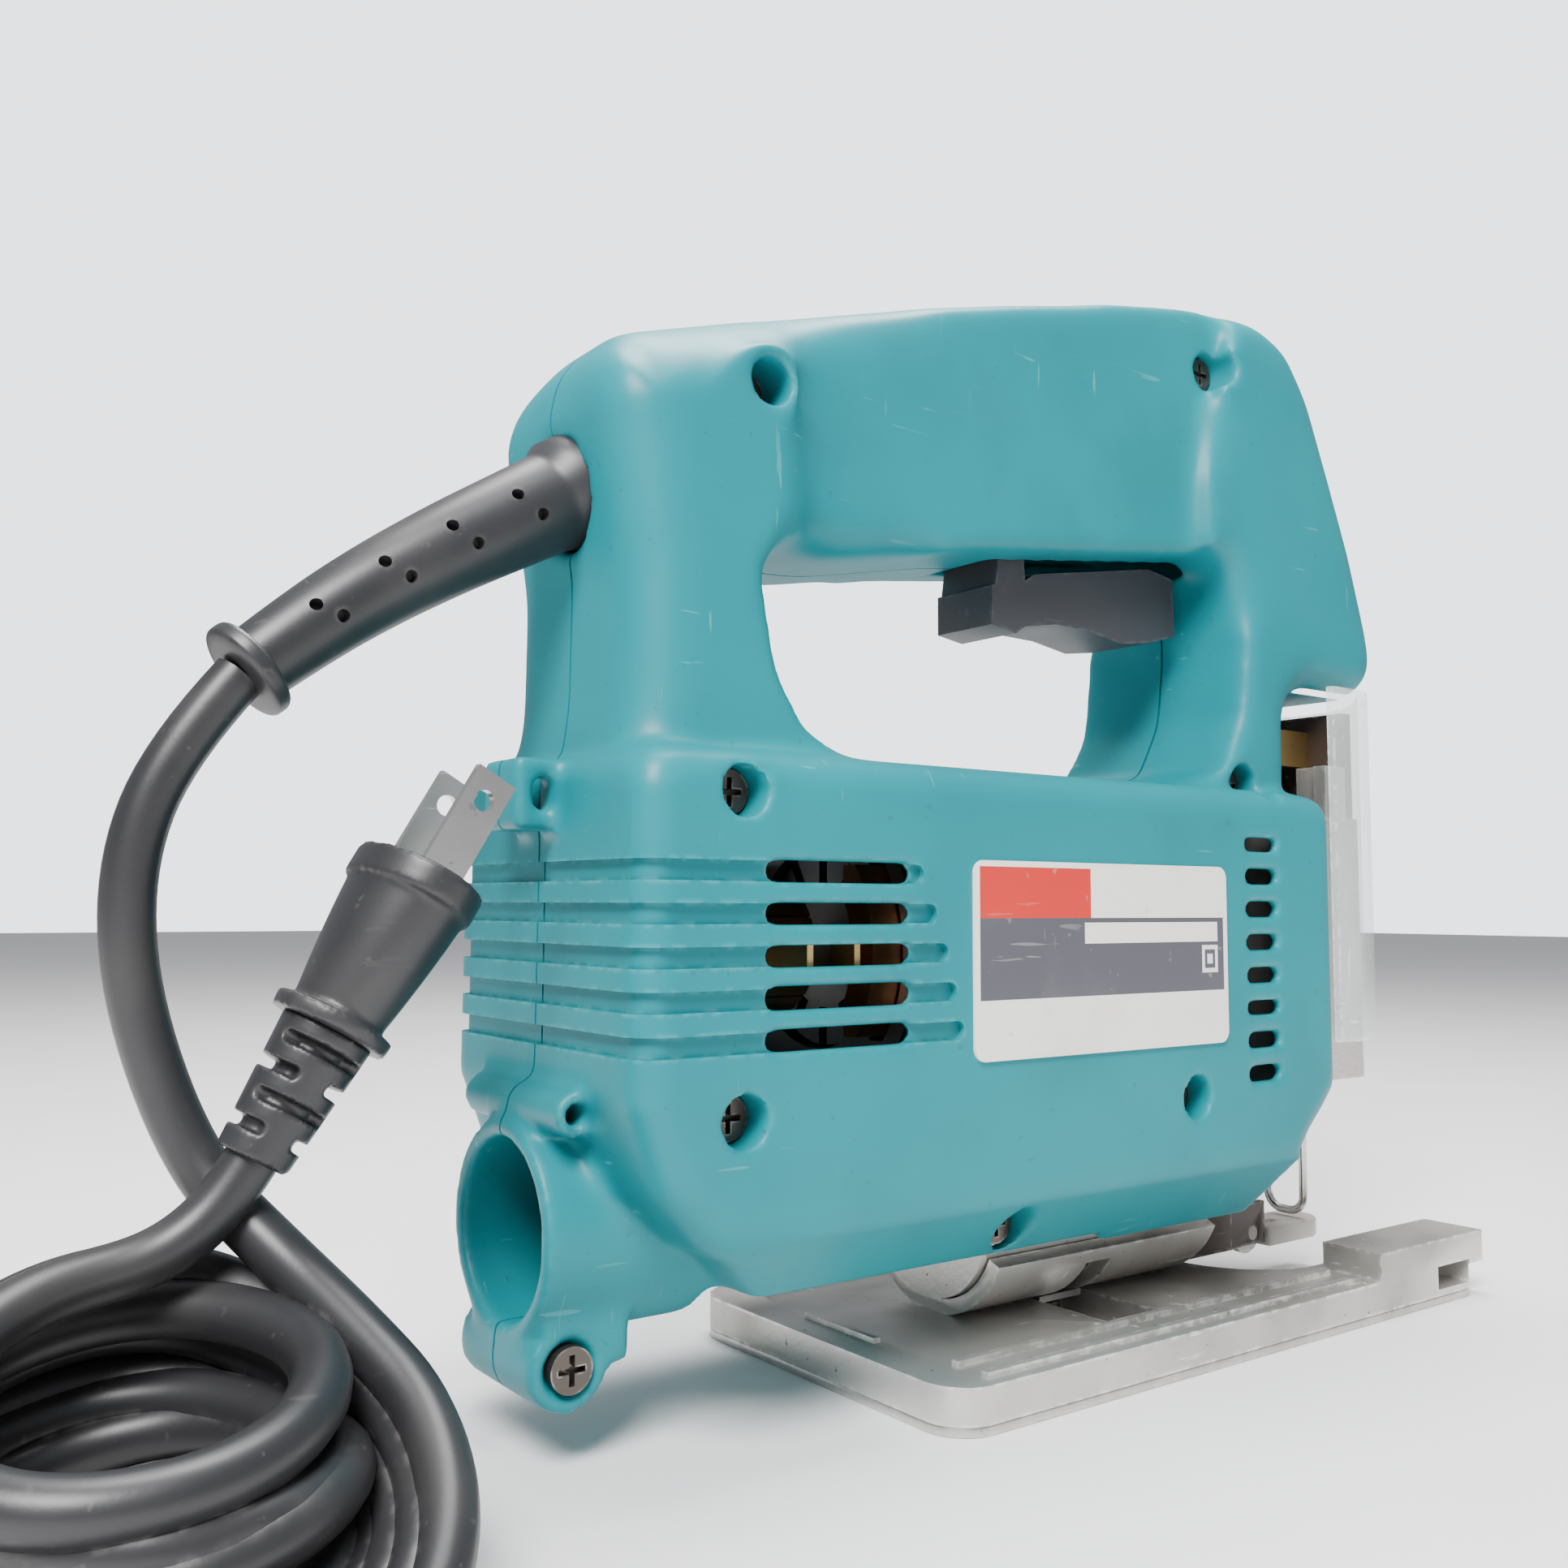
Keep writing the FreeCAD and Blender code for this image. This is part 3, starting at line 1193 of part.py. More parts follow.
def check_and_write():
    """Stops on any failed object or bad solid, and writes one file for each sub-part."""
    doc.recompute()
    failed = [thing.Name for thing in doc.Objects
              if {"Invalid", "Error"} & set(thing.State)]
    if failed:
        raise SystemExit("failed objects: " + ", ".join(failed))
    for thing in NODES:
        shape = thing.Shape
        if shape.isNull() or not shape.isValid() or not shape.Solids:
            raise SystemExit("bad shape: " + thing.Label)
    for thing in NODES:
        thing.Shape.exportStep(f"parts/{thing.Label}.step")
    box_all = FreeCAD.BoundBox()
    for thing in NODES:
        if not thing.Label.startswith(("power_cord", "cord_", "plug_")):
            box_all.add(thing.Shape.BoundBox)
    print(len(NODES), "sub-parts written; box of the tool", box_all)


build_all()
check_and_write()
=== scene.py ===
# %% [markdown]
# # A corded jigsaw, finished in Blender
# The tool's measured solids come packed from the CAD part. This notebook keeps
# them in place, lays the mains cord, models the pieces whose looks need more than
# a plain solid, and gives every surface a finish built from shader nodes.

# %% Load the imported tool
import json
import math
import bpy
import bmesh
from mathutils import Matrix, Vector


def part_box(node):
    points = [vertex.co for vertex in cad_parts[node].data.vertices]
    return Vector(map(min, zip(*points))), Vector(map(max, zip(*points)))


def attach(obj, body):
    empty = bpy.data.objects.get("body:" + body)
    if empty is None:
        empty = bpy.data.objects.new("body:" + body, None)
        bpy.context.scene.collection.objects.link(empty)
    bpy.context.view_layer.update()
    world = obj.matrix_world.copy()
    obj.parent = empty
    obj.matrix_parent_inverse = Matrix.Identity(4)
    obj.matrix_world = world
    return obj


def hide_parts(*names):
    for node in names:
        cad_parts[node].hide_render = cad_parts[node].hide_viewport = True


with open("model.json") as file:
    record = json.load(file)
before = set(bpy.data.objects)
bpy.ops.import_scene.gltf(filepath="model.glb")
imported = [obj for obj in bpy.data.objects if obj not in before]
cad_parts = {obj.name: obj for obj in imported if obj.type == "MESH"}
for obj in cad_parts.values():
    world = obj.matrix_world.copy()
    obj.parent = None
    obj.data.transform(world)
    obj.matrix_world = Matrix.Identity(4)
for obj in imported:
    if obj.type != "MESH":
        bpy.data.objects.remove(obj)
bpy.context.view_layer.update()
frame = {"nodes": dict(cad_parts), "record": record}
bpy.ops.object.select_all(action="DESELECT")
MM = 0.001


def linked(name, data):
    """A new object of the data, in the scene."""
    item = bpy.data.objects.new(name, data)
    bpy.context.scene.collection.objects.link(item)
    return item


# %% [markdown]
# ## The camera
# It stands low and close behind the right side of the tool, and looks forwards
# along it and a little upwards, so upright edges stay nearly upright and the
# near end looks large. A 33 mm lens on a 36 mm sensor gives that perspective.

# %% Camera
CAMERA_PLACE = (-0.202182, -0.203957, 0.081446)
CAMERA_TURN = (94.7348, -0.2405, -36.2631)
bpy.ops.object.camera_add(location=CAMERA_PLACE,
                          rotation=[math.radians(a) for a in CAMERA_TURN])
camera = bpy.context.object
camera.name = "camera"
camera.data.sensor_width = 36.0
camera.data.lens = 33.383
camera.data.clip_start = 0.01
bpy.context.scene.camera = camera
print("camera lens", round(camera.data.lens, 2), "mm")

# %% [markdown]
# ## The mains cord
# The real cord is one length of 7.2 mm rubber flex. It leaves the bend guard,
# hangs down in an arc, and the rest is wound into a loose hank on the floor with
# the plug standing out of its top. A single NURBS curve is the right tool,
# because it bends smoothly through its control points as a flex does, and its
# round section stays constant.

# %% Points along the cord
CORD_THICK = 7.2 * MM
GUARD_ROUTE = [(-97, 0, 145.6), (-106, 0, 140.4), (-116.5, 0, 134.2), (-127.5, 0, 127),
               (-137, 0, 119.8), (-145.6, 0, 112.4)]
CORD_ROUTE = [GUARD_ROUTE[-1], (-154.2, 0.6, 101.4), (-159.0, 1.4, 86.2),
              (-157.6, 1.2, 68.2), (-149.6, -1.0, 46.5)]
HANK_CENTRE = Vector((-159.0, -31.0, 0.0))
HANK_TURN = math.radians(-67)
PLUG_FOOT = Vector((-145.6, -9.5, 46.6))
PLUG_ALONG = Vector((31.4, 0.0, 53.0)).normalized()
PLUG_RISE = [(-157.1, -9.4, 36.9), (-150.5, -9.5, 40.6)]
TURN_POINTS = 14
FIRST_SHARE = 0.077
BLEND = 0.6
HANK_FLOOR, HANK_TOP = 3.65, 42.8


def mix(a, b, t):
    return a + (b - a) * t


def step(value, low, high):
    """0 below low, 1 above high, and a smooth rise between."""
    share = max(0.0, min(1.0, (value - low) / (high - low)))
    return share * share * (3 - 2 * share)


def loop_point(along, radius, start, end):
    """A point of a long loop with round ends, by the share of its length passed."""
    straight = max(end - start - 2 * radius, 0.0)
    bend = math.pi * radius
    walked = (along % 1.0) * 2 * (straight + bend)
    if walked < straight:
        return start + radius + walked, radius
    walked -= straight
    if walked < bend:
        angle = math.pi / 2 - walked / radius
        return (start + radius + straight + radius * math.cos(angle),
                radius * math.sin(angle))
    walked -= bend
    if walked < straight:
        return start + radius + straight - walked, -radius
    walked -= straight
    angle = -math.pi / 2 - walked / radius
    return start + radius + radius * math.cos(angle), radius * math.sin(angle)


def hank_place(u, v, z):
    """From the hank's own length, width and height to the tool's frame."""
    return HANK_CENTRE + Matrix.Rotation(HANK_TURN, 3, "Z") @ Vector((u, v, z))


def outer_turn(turn, low):
    """The long loops, sinking towards the floor and shortening as they go round."""
    u, v = loop_point(turn, 24.4 - 0.5 * math.sin(2.3 * turn) ** 2, -34.4,
                      mix(34.4, 17.0, low))
    rise = mix(21.0, 0.0, low)
    return u, v, mix(22.5, 3.7, low) + rise * (-0.60 * (u + 6) / 26 + 0.52 * v / 24)


def inner_turn(turn, climb):
    """The shorter loops, climbing back up; the last one is round and leads to the plug."""
    late = step(climb, 0.72, 1.0)
    u, v = loop_point(turn, 20.6 - 0.7 * (1 - late) * math.sin(1.7 * turn) ** 2,
                      -31.5 + 1.5 * math.sin(2.1 * turn) * (1 - late) + 8.5 * late,
                      16.0 + 3.0 * math.sin(2.6 * climb + 0.8) * (1 - late))
    lean = 3.5 * math.sin(math.pi * climb)
    return u, v - 3.2 * late, (mix(4.5, 27.0, climb) + 4.0 * climb * (v / 17 - u / 26)
                               + lean * math.sin(math.atan2(v, u) + 1.9 * turn)
                               + 4.4 * late)


def hank_points(outer=5.3, inner=4.52, last=9.89):
    """The hank as long turns, then inner turns, blended where one becomes the other."""
    points = []
    for count in range(1, int(last * TURN_POINTS) + 1):
        turn = count / TURN_POINTS - FIRST_SHARE
        share = step(turn, outer - BLEND, outer + BLEND)
        long_one = outer_turn(turn, min(1.0, max(0.0, turn / outer)))
        short_one = inner_turn(turn, min(1.0, max(0.0, (turn - outer) / inner)))
        u, v, z = (mix(a, b, share) for a, b in zip(long_one, short_one))
        points.append(hank_place(u, v, min(HANK_TOP, max(HANK_FLOOR, z))))
    return points


def cord_points():
    """The whole route: down from the guard, round the hank, and up into the plug."""
    points = [Vector(p) for p in CORD_ROUTE] + hank_points()
    points += [Vector(p) for p in PLUG_RISE]
    return points + [PLUG_FOOT, PLUG_FOOT + PLUG_ALONG * 5]


cord_line = cord_points()
print("cord control points:", len(cord_line))


# %% Lay the cord as one NURBS spline
def nurbs_through(name, points, bevel=0.0):
    """A NURBS curve object whose control points are given in millimetres."""
    curve = bpy.data.curves.new(name, "CURVE")
    curve.dimensions = "3D"
    curve.resolution_u = 8
    spline = curve.splines.new("NURBS")
    spline.points.add(len(points) - 1)
    for at, point in zip(spline.points, points):
        at.co = (point[0] * MM, point[1] * MM, point[2] * MM, 1.0)
        at.radius = bevel or 0.001
    spline.order_u = 3
    spline.use_endpoint_u = True
    spline.resolution_u = 8
    curve.bevel_depth = 1.0 if bevel else 0.0
    curve.bevel_resolution = 5
    curve.use_fill_caps = bevel > 0
    return linked(name, curve)


mains_cord = nurbs_through("mains_cord", cord_line, CORD_THICK / 2)
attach(mains_cord, "tool")
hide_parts("power_cord", "cord_hank", "plug_lead")

# %% [markdown]
# ## Effects that several finishes share
# Moulded nylon, cast metal and rubber all carry the same kinds of trace: fine grain,
# scratches, grime in hollows and pale wear along edges. Each is built once as a shader
# node group with named inputs, and every finish sets its own amounts.

# %% Node group helpers
def new_group(name, inputs, outputs):
    """A shader node group with float inputs {name: default} and float outputs."""
    group = bpy.data.node_groups.new(name, "ShaderNodeTree")
    for title, default in inputs.items():
        socket = group.interface.new_socket(title, in_out="INPUT",
                                            socket_type="NodeSocketFloat")
        socket.default_value = default
    for title in outputs:
        group.interface.new_socket(title, in_out="OUTPUT", socket_type="NodeSocketFloat")
    start = group.nodes.new("NodeGroupInput")
    end = group.nodes.new("NodeGroupOutput")
    return group, start, end


def put(tree, kind, **values):
    """Adds a shader node; input values are given by socket name, settings by attribute."""
    item = tree.nodes.new("ShaderNode" + kind)
    for title, value in values.items():
        if title in item.inputs:
            item.inputs[title].default_value = value
        else:
            setattr(item, title, value)
    return item


def sums(tree, operation, first, second, clamp=False):
    item = tree.nodes.new("ShaderNodeMath")
    item.operation = operation
    item.use_clamp = clamp
    for socket, value in zip(item.inputs, (first, second)):
        if isinstance(value, (int, float)):
            socket.default_value = value
        else:
            tree.links.new(value, socket)
    return item.outputs[0]


def ramp(tree, value, low, high):
    """0 below low, 1 above high, and a smooth step between."""
    item = tree.nodes.new("ShaderNodeMapRange")
    item.interpolation_type = "SMOOTHSTEP"
    item.inputs["From Min"].default_value = low
    item.inputs["From Max"].default_value = high
    tree.links.new(value, item.inputs["Value"])
    return item.outputs["Result"]


def noise(tree, scale, detail=3.0, stretch=(1, 1, 1)):
    place = tree.nodes.new("ShaderNodeTexCoord")
    turn = put(tree, "Mapping", Scale=stretch)
    tree.links.new(place.outputs["Object"], turn.inputs["Vector"])
    item = put(tree, "TexNoise", Scale=scale, Detail=detail)
    tree.links.new(turn.outputs["Vector"], item.inputs["Vector"])
    return item.outputs["Fac"]


# %% Edge wear, scratches, grime and grain as groups
SEAM_SPARED = (0.0012, 0.0022)


def edge_wear_group():
    """Where a rounded normal leaves the true one, so along edges, but not at the seam."""
    group, start, end = new_group("edge wear", {"Width": 0.0012, "Gain": 9.0, "Break": 420.0},
                                  ("Mask",))
    tree = group
    rounded = put(tree, "Bevel", samples=4)
    tree.links.new(start.outputs["Width"], rounded.inputs["Radius"])
    flat = tree.nodes.new("ShaderNodeNewGeometry")
    dot = put(tree, "VectorMath", operation="DOT_PRODUCT")
    tree.links.new(rounded.outputs["Normal"], dot.inputs[0])
    tree.links.new(flat.outputs["Normal"], dot.inputs[1])
    bent = sums(tree, "SUBTRACT", 1.0, dot.outputs["Value"])
    bent = sums(tree, "MULTIPLY", bent, start.outputs["Gain"], True)
    patch = put(tree, "TexNoise", Detail=4.0)
    place = tree.nodes.new("ShaderNodeTexCoord")
    tree.links.new(place.outputs["Object"], patch.inputs["Vector"])
    tree.links.new(start.outputs["Break"], patch.inputs["Scale"])
    broken = ramp(tree, patch.outputs["Fac"], 0.42, 0.62)
    split = tree.nodes.new("ShaderNodeSeparateXYZ")
    tree.links.new(place.outputs["Object"], split.inputs["Vector"])
    beside = ramp(tree, sums(tree, "ABSOLUTE", split.outputs["Y"], 0.0), *SEAM_SPARED)
    broken = sums(tree, "MULTIPLY", broken, beside)
    tree.links.new(sums(tree, "MULTIPLY", bent, broken), end.inputs["Mask"])
    return group


def scratch_group():
    """Thin crossing lines and a few short nicks."""
    group, start, end = new_group("scratches", {"Amount": 0.5}, ("Mask",))
    tree = group
    lines = None
    for scale, stretch, low in ((260, (0.25, 1, 3.2), 0.70), (190, (3.0, 1, 0.3), 0.71),
                                (120, (0.5, 2.4, 2.2), 0.72)):
        value = ramp(tree, noise(tree, scale, 2.0, stretch), low, low + 0.03)
        lines = value if lines is None else sums(tree, "MAXIMUM", lines, value)
    where = ramp(tree, noise(tree, 26, 3.0), 0.48, 0.62)
    mask = sums(tree, "MULTIPLY", lines, where)
    tree.links.new(sums(tree, "MULTIPLY", mask, start.outputs["Amount"]), end.inputs["Mask"])
    return group


def grain_group():
    """A fine spark-eroded mould texture as a height."""
    group, start, end = new_group("mould grain", {"Scale": 2600.0}, ("Height",))
    tree = group
    place = tree.nodes.new("ShaderNodeTexCoord")
    fine = put(tree, "TexNoise", Detail=2.0)
    tree.links.new(place.outputs["Object"], fine.inputs["Vector"])
    tree.links.new(start.outputs["Scale"], fine.inputs["Scale"])
    broad = noise(tree, 140, 2.0)
    height = sums(tree, "ADD", sums(tree, "MULTIPLY", fine.outputs["Fac"], 0.6),
                  sums(tree, "MULTIPLY", broad, 0.4))
    tree.links.new(height, end.inputs["Height"])
    return group


def grime_group():
    """Soft blotches and small specks of dirt."""
    group, start, end = new_group("grime", {"Amount": 0.5}, ("Mask",))
    tree = group
    blotch = ramp(tree, noise(tree, 34, 5.0), 0.52, 0.74)
    speck = ramp(tree, noise(tree, 520, 2.0), 0.70, 0.76)
    both = sums(tree, "MAXIMUM", sums(tree, "MULTIPLY", blotch, 0.55), speck)
    tree.links.new(sums(tree, "MULTIPLY", both, start.outputs["Amount"]), end.inputs["Mask"])
    return group


EFFECTS = {"edge": edge_wear_group(), "scratch": scratch_group(), "grain": grain_group(),
           "grime": grime_group()}
print("effect groups:", sorted(EFFECTS))


# %% [markdown]
# ## Finishes
# Every finish is a Principled shader. Its colour starts from the bare material, then
# grime darkens it, scratches and worn edges lighten it, and the grain lifts the
# surface a few hundredths of a millimetre through a Bump node.

# %% A builder for finishes
def use(tree, effect, **values):
    item = tree.nodes.new("ShaderNodeGroup")
    item.node_tree = EFFECTS[effect]
    for title, value in values.items():
        item.inputs[title].default_value = value
    return item.outputs[0]


def blend_color(tree, mask, first, second):
    item = tree.nodes.new("ShaderNodeMix")
    item.data_type = "RGBA"
    tree.links.new(mask, item.inputs["Factor"])
    for socket, value in ((item.inputs["A"], first), (item.inputs["B"], second)):
        if isinstance(value, tuple):
            socket.default_value = (*value, 1.0)
        else:
            tree.links.new(value, socket)
    return item.outputs["Result"]


def finish(name, color, rough, metal=0.0, vary=None, dirt=None, dirt_color=(0.05, 0.045, 0.04),
           wear=0.0, wear_color=None, wear_width=0.0012, scratches=0.0, grain=0.0,
           grain_scale=2600.0, grain_depth=0.00004, gloss=0.5):
    material = bpy.data.materials.new(name)
    material.use_nodes = True
    tree = material.node_tree
    shader = tree.nodes["Principled BSDF"]
    shader.inputs["Metallic"].default_value = metal
    shader.inputs["Specular IOR Level"].default_value = gloss
    pale = wear_color or tuple(min(1.0, c * 1.6 + 0.10) for c in color)
    tint = vary or tuple(c * 0.86 for c in color)
    shade = blend_color(tree, ramp(tree, noise(tree, 18, 4.0), 0.35, 0.68), color, tint)
    roughness = sums(tree, "ADD", rough - 0.07,
                     sums(tree, "MULTIPLY", noise(tree, 75, 5.0), 0.15))
    if dirt:
        shade = blend_color(tree, use(tree, "grime", Amount=dirt), shade, dirt_color)
    if scratches:
        marks = use(tree, "scratch", Amount=scratches)
        shade = blend_color(tree, marks, shade, pale)
        roughness = sums(tree, "ADD", roughness, sums(tree, "MULTIPLY", marks, 0.15))
    if wear:
        worn = sums(tree, "MULTIPLY", use(tree, "edge", Width=wear_width), wear)
        shade = blend_color(tree, worn, shade, pale)
    tree.links.new(shade, shader.inputs["Base Color"])
    tree.links.new(roughness, shader.inputs["Roughness"])
    if grain:
        bump = put(tree, "Bump", Strength=grain, Distance=grain_depth)
        tree.links.new(use(tree, "grain", Scale=grain_scale), bump.inputs["Height"])
        tree.links.new(bump.outputs["Normal"], shader.inputs["Normal"])
    return material


# %% Finishes of the plastic, rubber and metal parts
FINISHES = {
    "housing_teal": finish("teal nylon", (0.0, 0.195, 0.222), 0.43, vary=(0.0, 0.170, 0.200),
                           dirt=0.30, dirt_color=(0.02, 0.075, 0.08), wear=0.35,
                           wear_color=(0.12, 0.42, 0.43), scratches=0.30, grain=0.35,
                           gloss=0.28),
    "cast_aluminium": finish("cast aluminium", (0.62, 0.605, 0.575), 0.40, 0.85,
                             vary=(0.46, 0.445, 0.415), dirt=0.8,
                             dirt_color=(0.15, 0.13, 0.10), wear=0.9,
                             wear_color=(0.92, 0.91, 0.89), scratches=0.8, grain=0.8,
                             grain_scale=900.0, grain_depth=0.00012),
    "sole_steel": finish("pressed steel", (0.56, 0.55, 0.53), 0.36, 1.0, dirt=0.3,
                         scratches=0.9, wear=0.5, grain=0.3),
    "dark_steel": finish("blackened steel", (0.060, 0.042, 0.036), 0.42, 0.45, dirt=0.3,
                         wear=0.8, wear_color=(0.30, 0.26, 0.23), scratches=0.4, grain=0.5,
                         grain_scale=1500.0),
    "bright_steel": finish("ground steel", (0.62, 0.61, 0.59), 0.27, 1.0, dirt=0.25,
                           scratches=0.5, grain=0.2),
    "silicon_steel": finish("laminated steel", (0.34, 0.34, 0.35), 0.45, 1.0, dirt=0.3,
                            grain=0.4, grain_scale=1700.0),
    "copper": finish("enamelled copper", (0.70, 0.30, 0.14), 0.34, 1.0, dirt=0.25,
                     grain=0.6, grain_scale=1200.0),
    "brass": finish("drawn brass", (0.72, 0.53, 0.22), 0.33, 1.0, dirt=0.3, scratches=0.3),
    "carbon": finish("pressed carbon", (0.03, 0.03, 0.03), 0.6, dirt=0.1, grain=0.5),
    "black_plastic": finish("black nylon", (0.028, 0.028, 0.031), 0.45, dirt=0.3,
                            dirt_color=(0.09, 0.085, 0.08), scratches=0.25, wear=0.3,
                            wear_color=(0.12, 0.12, 0.12), grain=0.4),
    "trigger_grey": finish("grey nylon", (0.040, 0.041, 0.048), 0.46, dirt=0.3,
                           dirt_color=(0.02, 0.02, 0.022), scratches=0.2, wear=0.5,
                           wear_color=(0.13, 0.13, 0.145), grain=0.45),
    "white_plastic": finish("ivory acetal", (0.80, 0.76, 0.69), 0.36, dirt=0.6,
                            dirt_color=(0.36, 0.30, 0.24), scratches=0.3),
    "cord_rubber": finish("cord rubber", (0.012, 0.012, 0.0135), 0.40,
                          vary=(0.020, 0.020, 0.022), dirt=0.5,
                          dirt_color=(0.055, 0.051, 0.047), scratches=0.12,
                          wear_color=(0.11, 0.10, 0.098), wear=0.4, grain=0.5,
                          grain_scale=1500.0),
    "screw_black": finish("blackened screw steel", (0.10, 0.085, 0.075), 0.33, 0.85, dirt=0.5,
                          wear=1.0, wear_color=(0.45, 0.40, 0.36), wear_width=0.0005,
                          scratches=0.5),
}
print("finishes:", len(FINISHES))


# %% [markdown]
# ## Clear cover and printed plate
# The cover is hazy clear plastic, scuffed white by dust. Part transparency keeps the
# rod visible behind it. The plate on the side carries plain colour fields only: each
# field is a rectangle cut out of Object coordinates by comparing X and Z.

# %% Hazy clear plastic
def clear_finish():
    material = bpy.data.materials.new("hazy clear plastic")
    material.use_nodes = True
    tree = material.node_tree
    shader = tree.nodes["Principled BSDF"]
    shader.inputs["IOR"].default_value = 1.49
    haze = use(tree, "grime", Amount=0.8)
    marks = use(tree, "scratch", Amount=0.9)
    edges = use(tree, "edge", Width=0.001)
    cloudy = sums(tree, "MAXIMUM", sums(tree, "MAXIMUM", haze, marks), edges)
    tree.links.new(blend_color(tree, cloudy, (0.80, 0.88, 0.85), (0.93, 0.93, 0.90)),
                   shader.inputs["Base Color"])
    tree.links.new(sums(tree, "ADD", 0.16, sums(tree, "MULTIPLY", cloudy, 0.4)),
                   shader.inputs["Roughness"])
    tree.links.new(sums(tree, "ADD", 0.24, sums(tree, "MULTIPLY", cloudy, 0.4)),
                   shader.inputs["Alpha"])
    return material


FINISHES["clear_plastic"] = clear_finish()


# %% Plain printed fields
def between(tree, value, low, high):
    """1 between low and high, 0 outside."""
    above = sums(tree, "GREATER_THAN", value, low)
    below = sums(tree, "LESS_THAN", value, high)
    return sums(tree, "MULTIPLY", above, below)


def label_finish(low, high):
    """Colour fields given as shares of the plate's width and height, from its low corner."""
    material = bpy.data.materials.new("printed plate")
    material.use_nodes = True
    tree = material.node_tree
    shader = tree.nodes["Principled BSDF"]
    shader.inputs["Coat Weight"].default_value = 0.3
    place = tree.nodes.new("ShaderNodeTexCoord")
    split = tree.nodes.new("ShaderNodeSeparateXYZ")
    tree.links.new(place.outputs["Object"], split.inputs["Vector"])
    wide, tall = high[0] - low[0], high[2] - low[2]
    red, ink, cream, pale = ((0.56, 0.018, 0.012), (0.070, 0.070, 0.085),
                             (0.80, 0.78, 0.74), (0.72, 0.71, 0.69))
    fields = [((0.0, 1.0, 0.30, 0.71), ink),
              ((0.0, 0.425, 0.71, 1.0), red),
              ((0.40, 0.955, 0.575, 0.685), cream),
              ((0.885, 0.955, 0.40, 0.555), pale),
              ((0.897, 0.943, 0.425, 0.53), ink),
              ((0.908, 0.932, 0.45, 0.505), pale)]
    shade = None
    for (x0, x1, z0, z1), color in fields:
        across = between(tree, split.outputs["X"], low[0] + x0 * wide, low[0] + x1 * wide)
        up = between(tree, split.outputs["Z"], low[2] + z0 * tall, low[2] + z1 * tall)
        mask = sums(tree, "MULTIPLY", across, up)
        shade = blend_color(tree, mask, shade or (0.80, 0.785, 0.75), color)
    rim_x, rim_z = 0.018 * wide, 0.03 * tall
    across = between(tree, split.outputs["X"], low[0] + rim_x, high[0] - rim_x)
    up = between(tree, split.outputs["Z"], low[2] + rim_z, high[2] - rim_z)
    inside = sums(tree, "MULTIPLY", across, up)
    shade = blend_color(tree, inside, (0.79, 0.775, 0.74), shade)
    shade = blend_color(tree, use(tree, "grime", Amount=0.35), shade, (0.33, 0.31, 0.28))
    shade = blend_color(tree, use(tree, "scratch", Amount=0.16), shade, (0.7, 0.69, 0.67))
    tree.links.new(shade, shader.inputs["Base Color"])
    tree.links.new(sums(tree, "ADD", 0.28, sums(tree, "MULTIPLY", noise(tree, 90), 0.2)),
                   shader.inputs["Roughness"])
    return material


FINISHES["label"] = label_finish(*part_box("name_plate"))


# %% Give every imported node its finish
SLOT_OF = {part["node"]: part["material_slot"] for part in frame["record"]["subparts"]}


def wear_finish(item, slot):
    item.data.materials.clear()
    item.data.materials.append(FINISHES[slot])


for node_name, slot_name in SLOT_OF.items():
    wear_finish(frame["nodes"][node_name], slot_name)
wear_finish(mains_cord, "cord_rubber")
print("nodes with a finish:", len(SLOT_OF))

# %% [markdown]
# ## Helpers for modelled pieces
# A modelled piece either starts from a primitive or from a merged copy of its packed
# solid, whose flat faces are then cleaned and whose sharp edges are bevelled, because
# moulded and cast parts have no truly sharp edge.

# %% Selecting, merging, bevelling
def only(item):
    bpy.ops.object.select_all(action="DESELECT")
    item.select_set(True)
    bpy.context.view_layer.objects.active = item


def merged_copy(title, *names):
    """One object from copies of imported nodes, with their loose triangles merged."""
    bpy.ops.object.select_all(action="DESELECT")
    for name in names:
        item = linked(title, frame["nodes"][name].data.copy())
        item.select_set(True)
        bpy.context.view_layer.objects.active = item
    if len(names) > 1:
        bpy.ops.object.join()
    item = bpy.context.object
    item.name = title
    item.data.materials.clear()
    bpy.ops.object.mode_set(mode="EDIT")
    bpy.ops.mesh.select_all(action="SELECT")
    bpy.ops.mesh.remove_doubles(threshold=0.000004)
    bpy.ops.mesh.customdata_custom_splitnormals_clear()
    bpy.ops.object.mode_set(mode="OBJECT")
    return item


def apply_modifier(item, kind, **settings):
    only(item)
    bpy.ops.object.modifier_add(type=kind)
    change = item.modifiers[-1]
    for title, value in settings.items():
        setattr(change, title, value)
    bpy.ops.object.modifier_apply(modifier=change.name)


def ease_edges(item, width, segments=2, angle=35):
    """Cleans flat faces, then rounds every edge sharper than the angle."""
    only(item)
    bpy.ops.object.mode_set(mode="EDIT")
    bpy.ops.mesh.select_all(action="SELECT")
    bpy.ops.mesh.dissolve_limited(angle_limit=math.radians(1.0))
    bpy.ops.object.mode_set(mode="OBJECT")
    apply_modifier(item, "BEVEL", width=width, segments=segments, limit_method="ANGLE",
                   angle_limit=math.radians(angle), use_clamp_overlap=True)
    smooth(item)


def smooth(item, angle=40):
    only(item)
    bpy.ops.object.shade_smooth_by_angle(angle=math.radians(angle))


def place_piece(item, body, slot, *nodes):
    """Finish, body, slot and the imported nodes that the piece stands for."""
    wear_finish(item, slot)
    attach(item, body)
    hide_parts(*nodes)
    print(item.name, "faces:", len(item.data.polygons) if item.type == "MESH" else "curve")


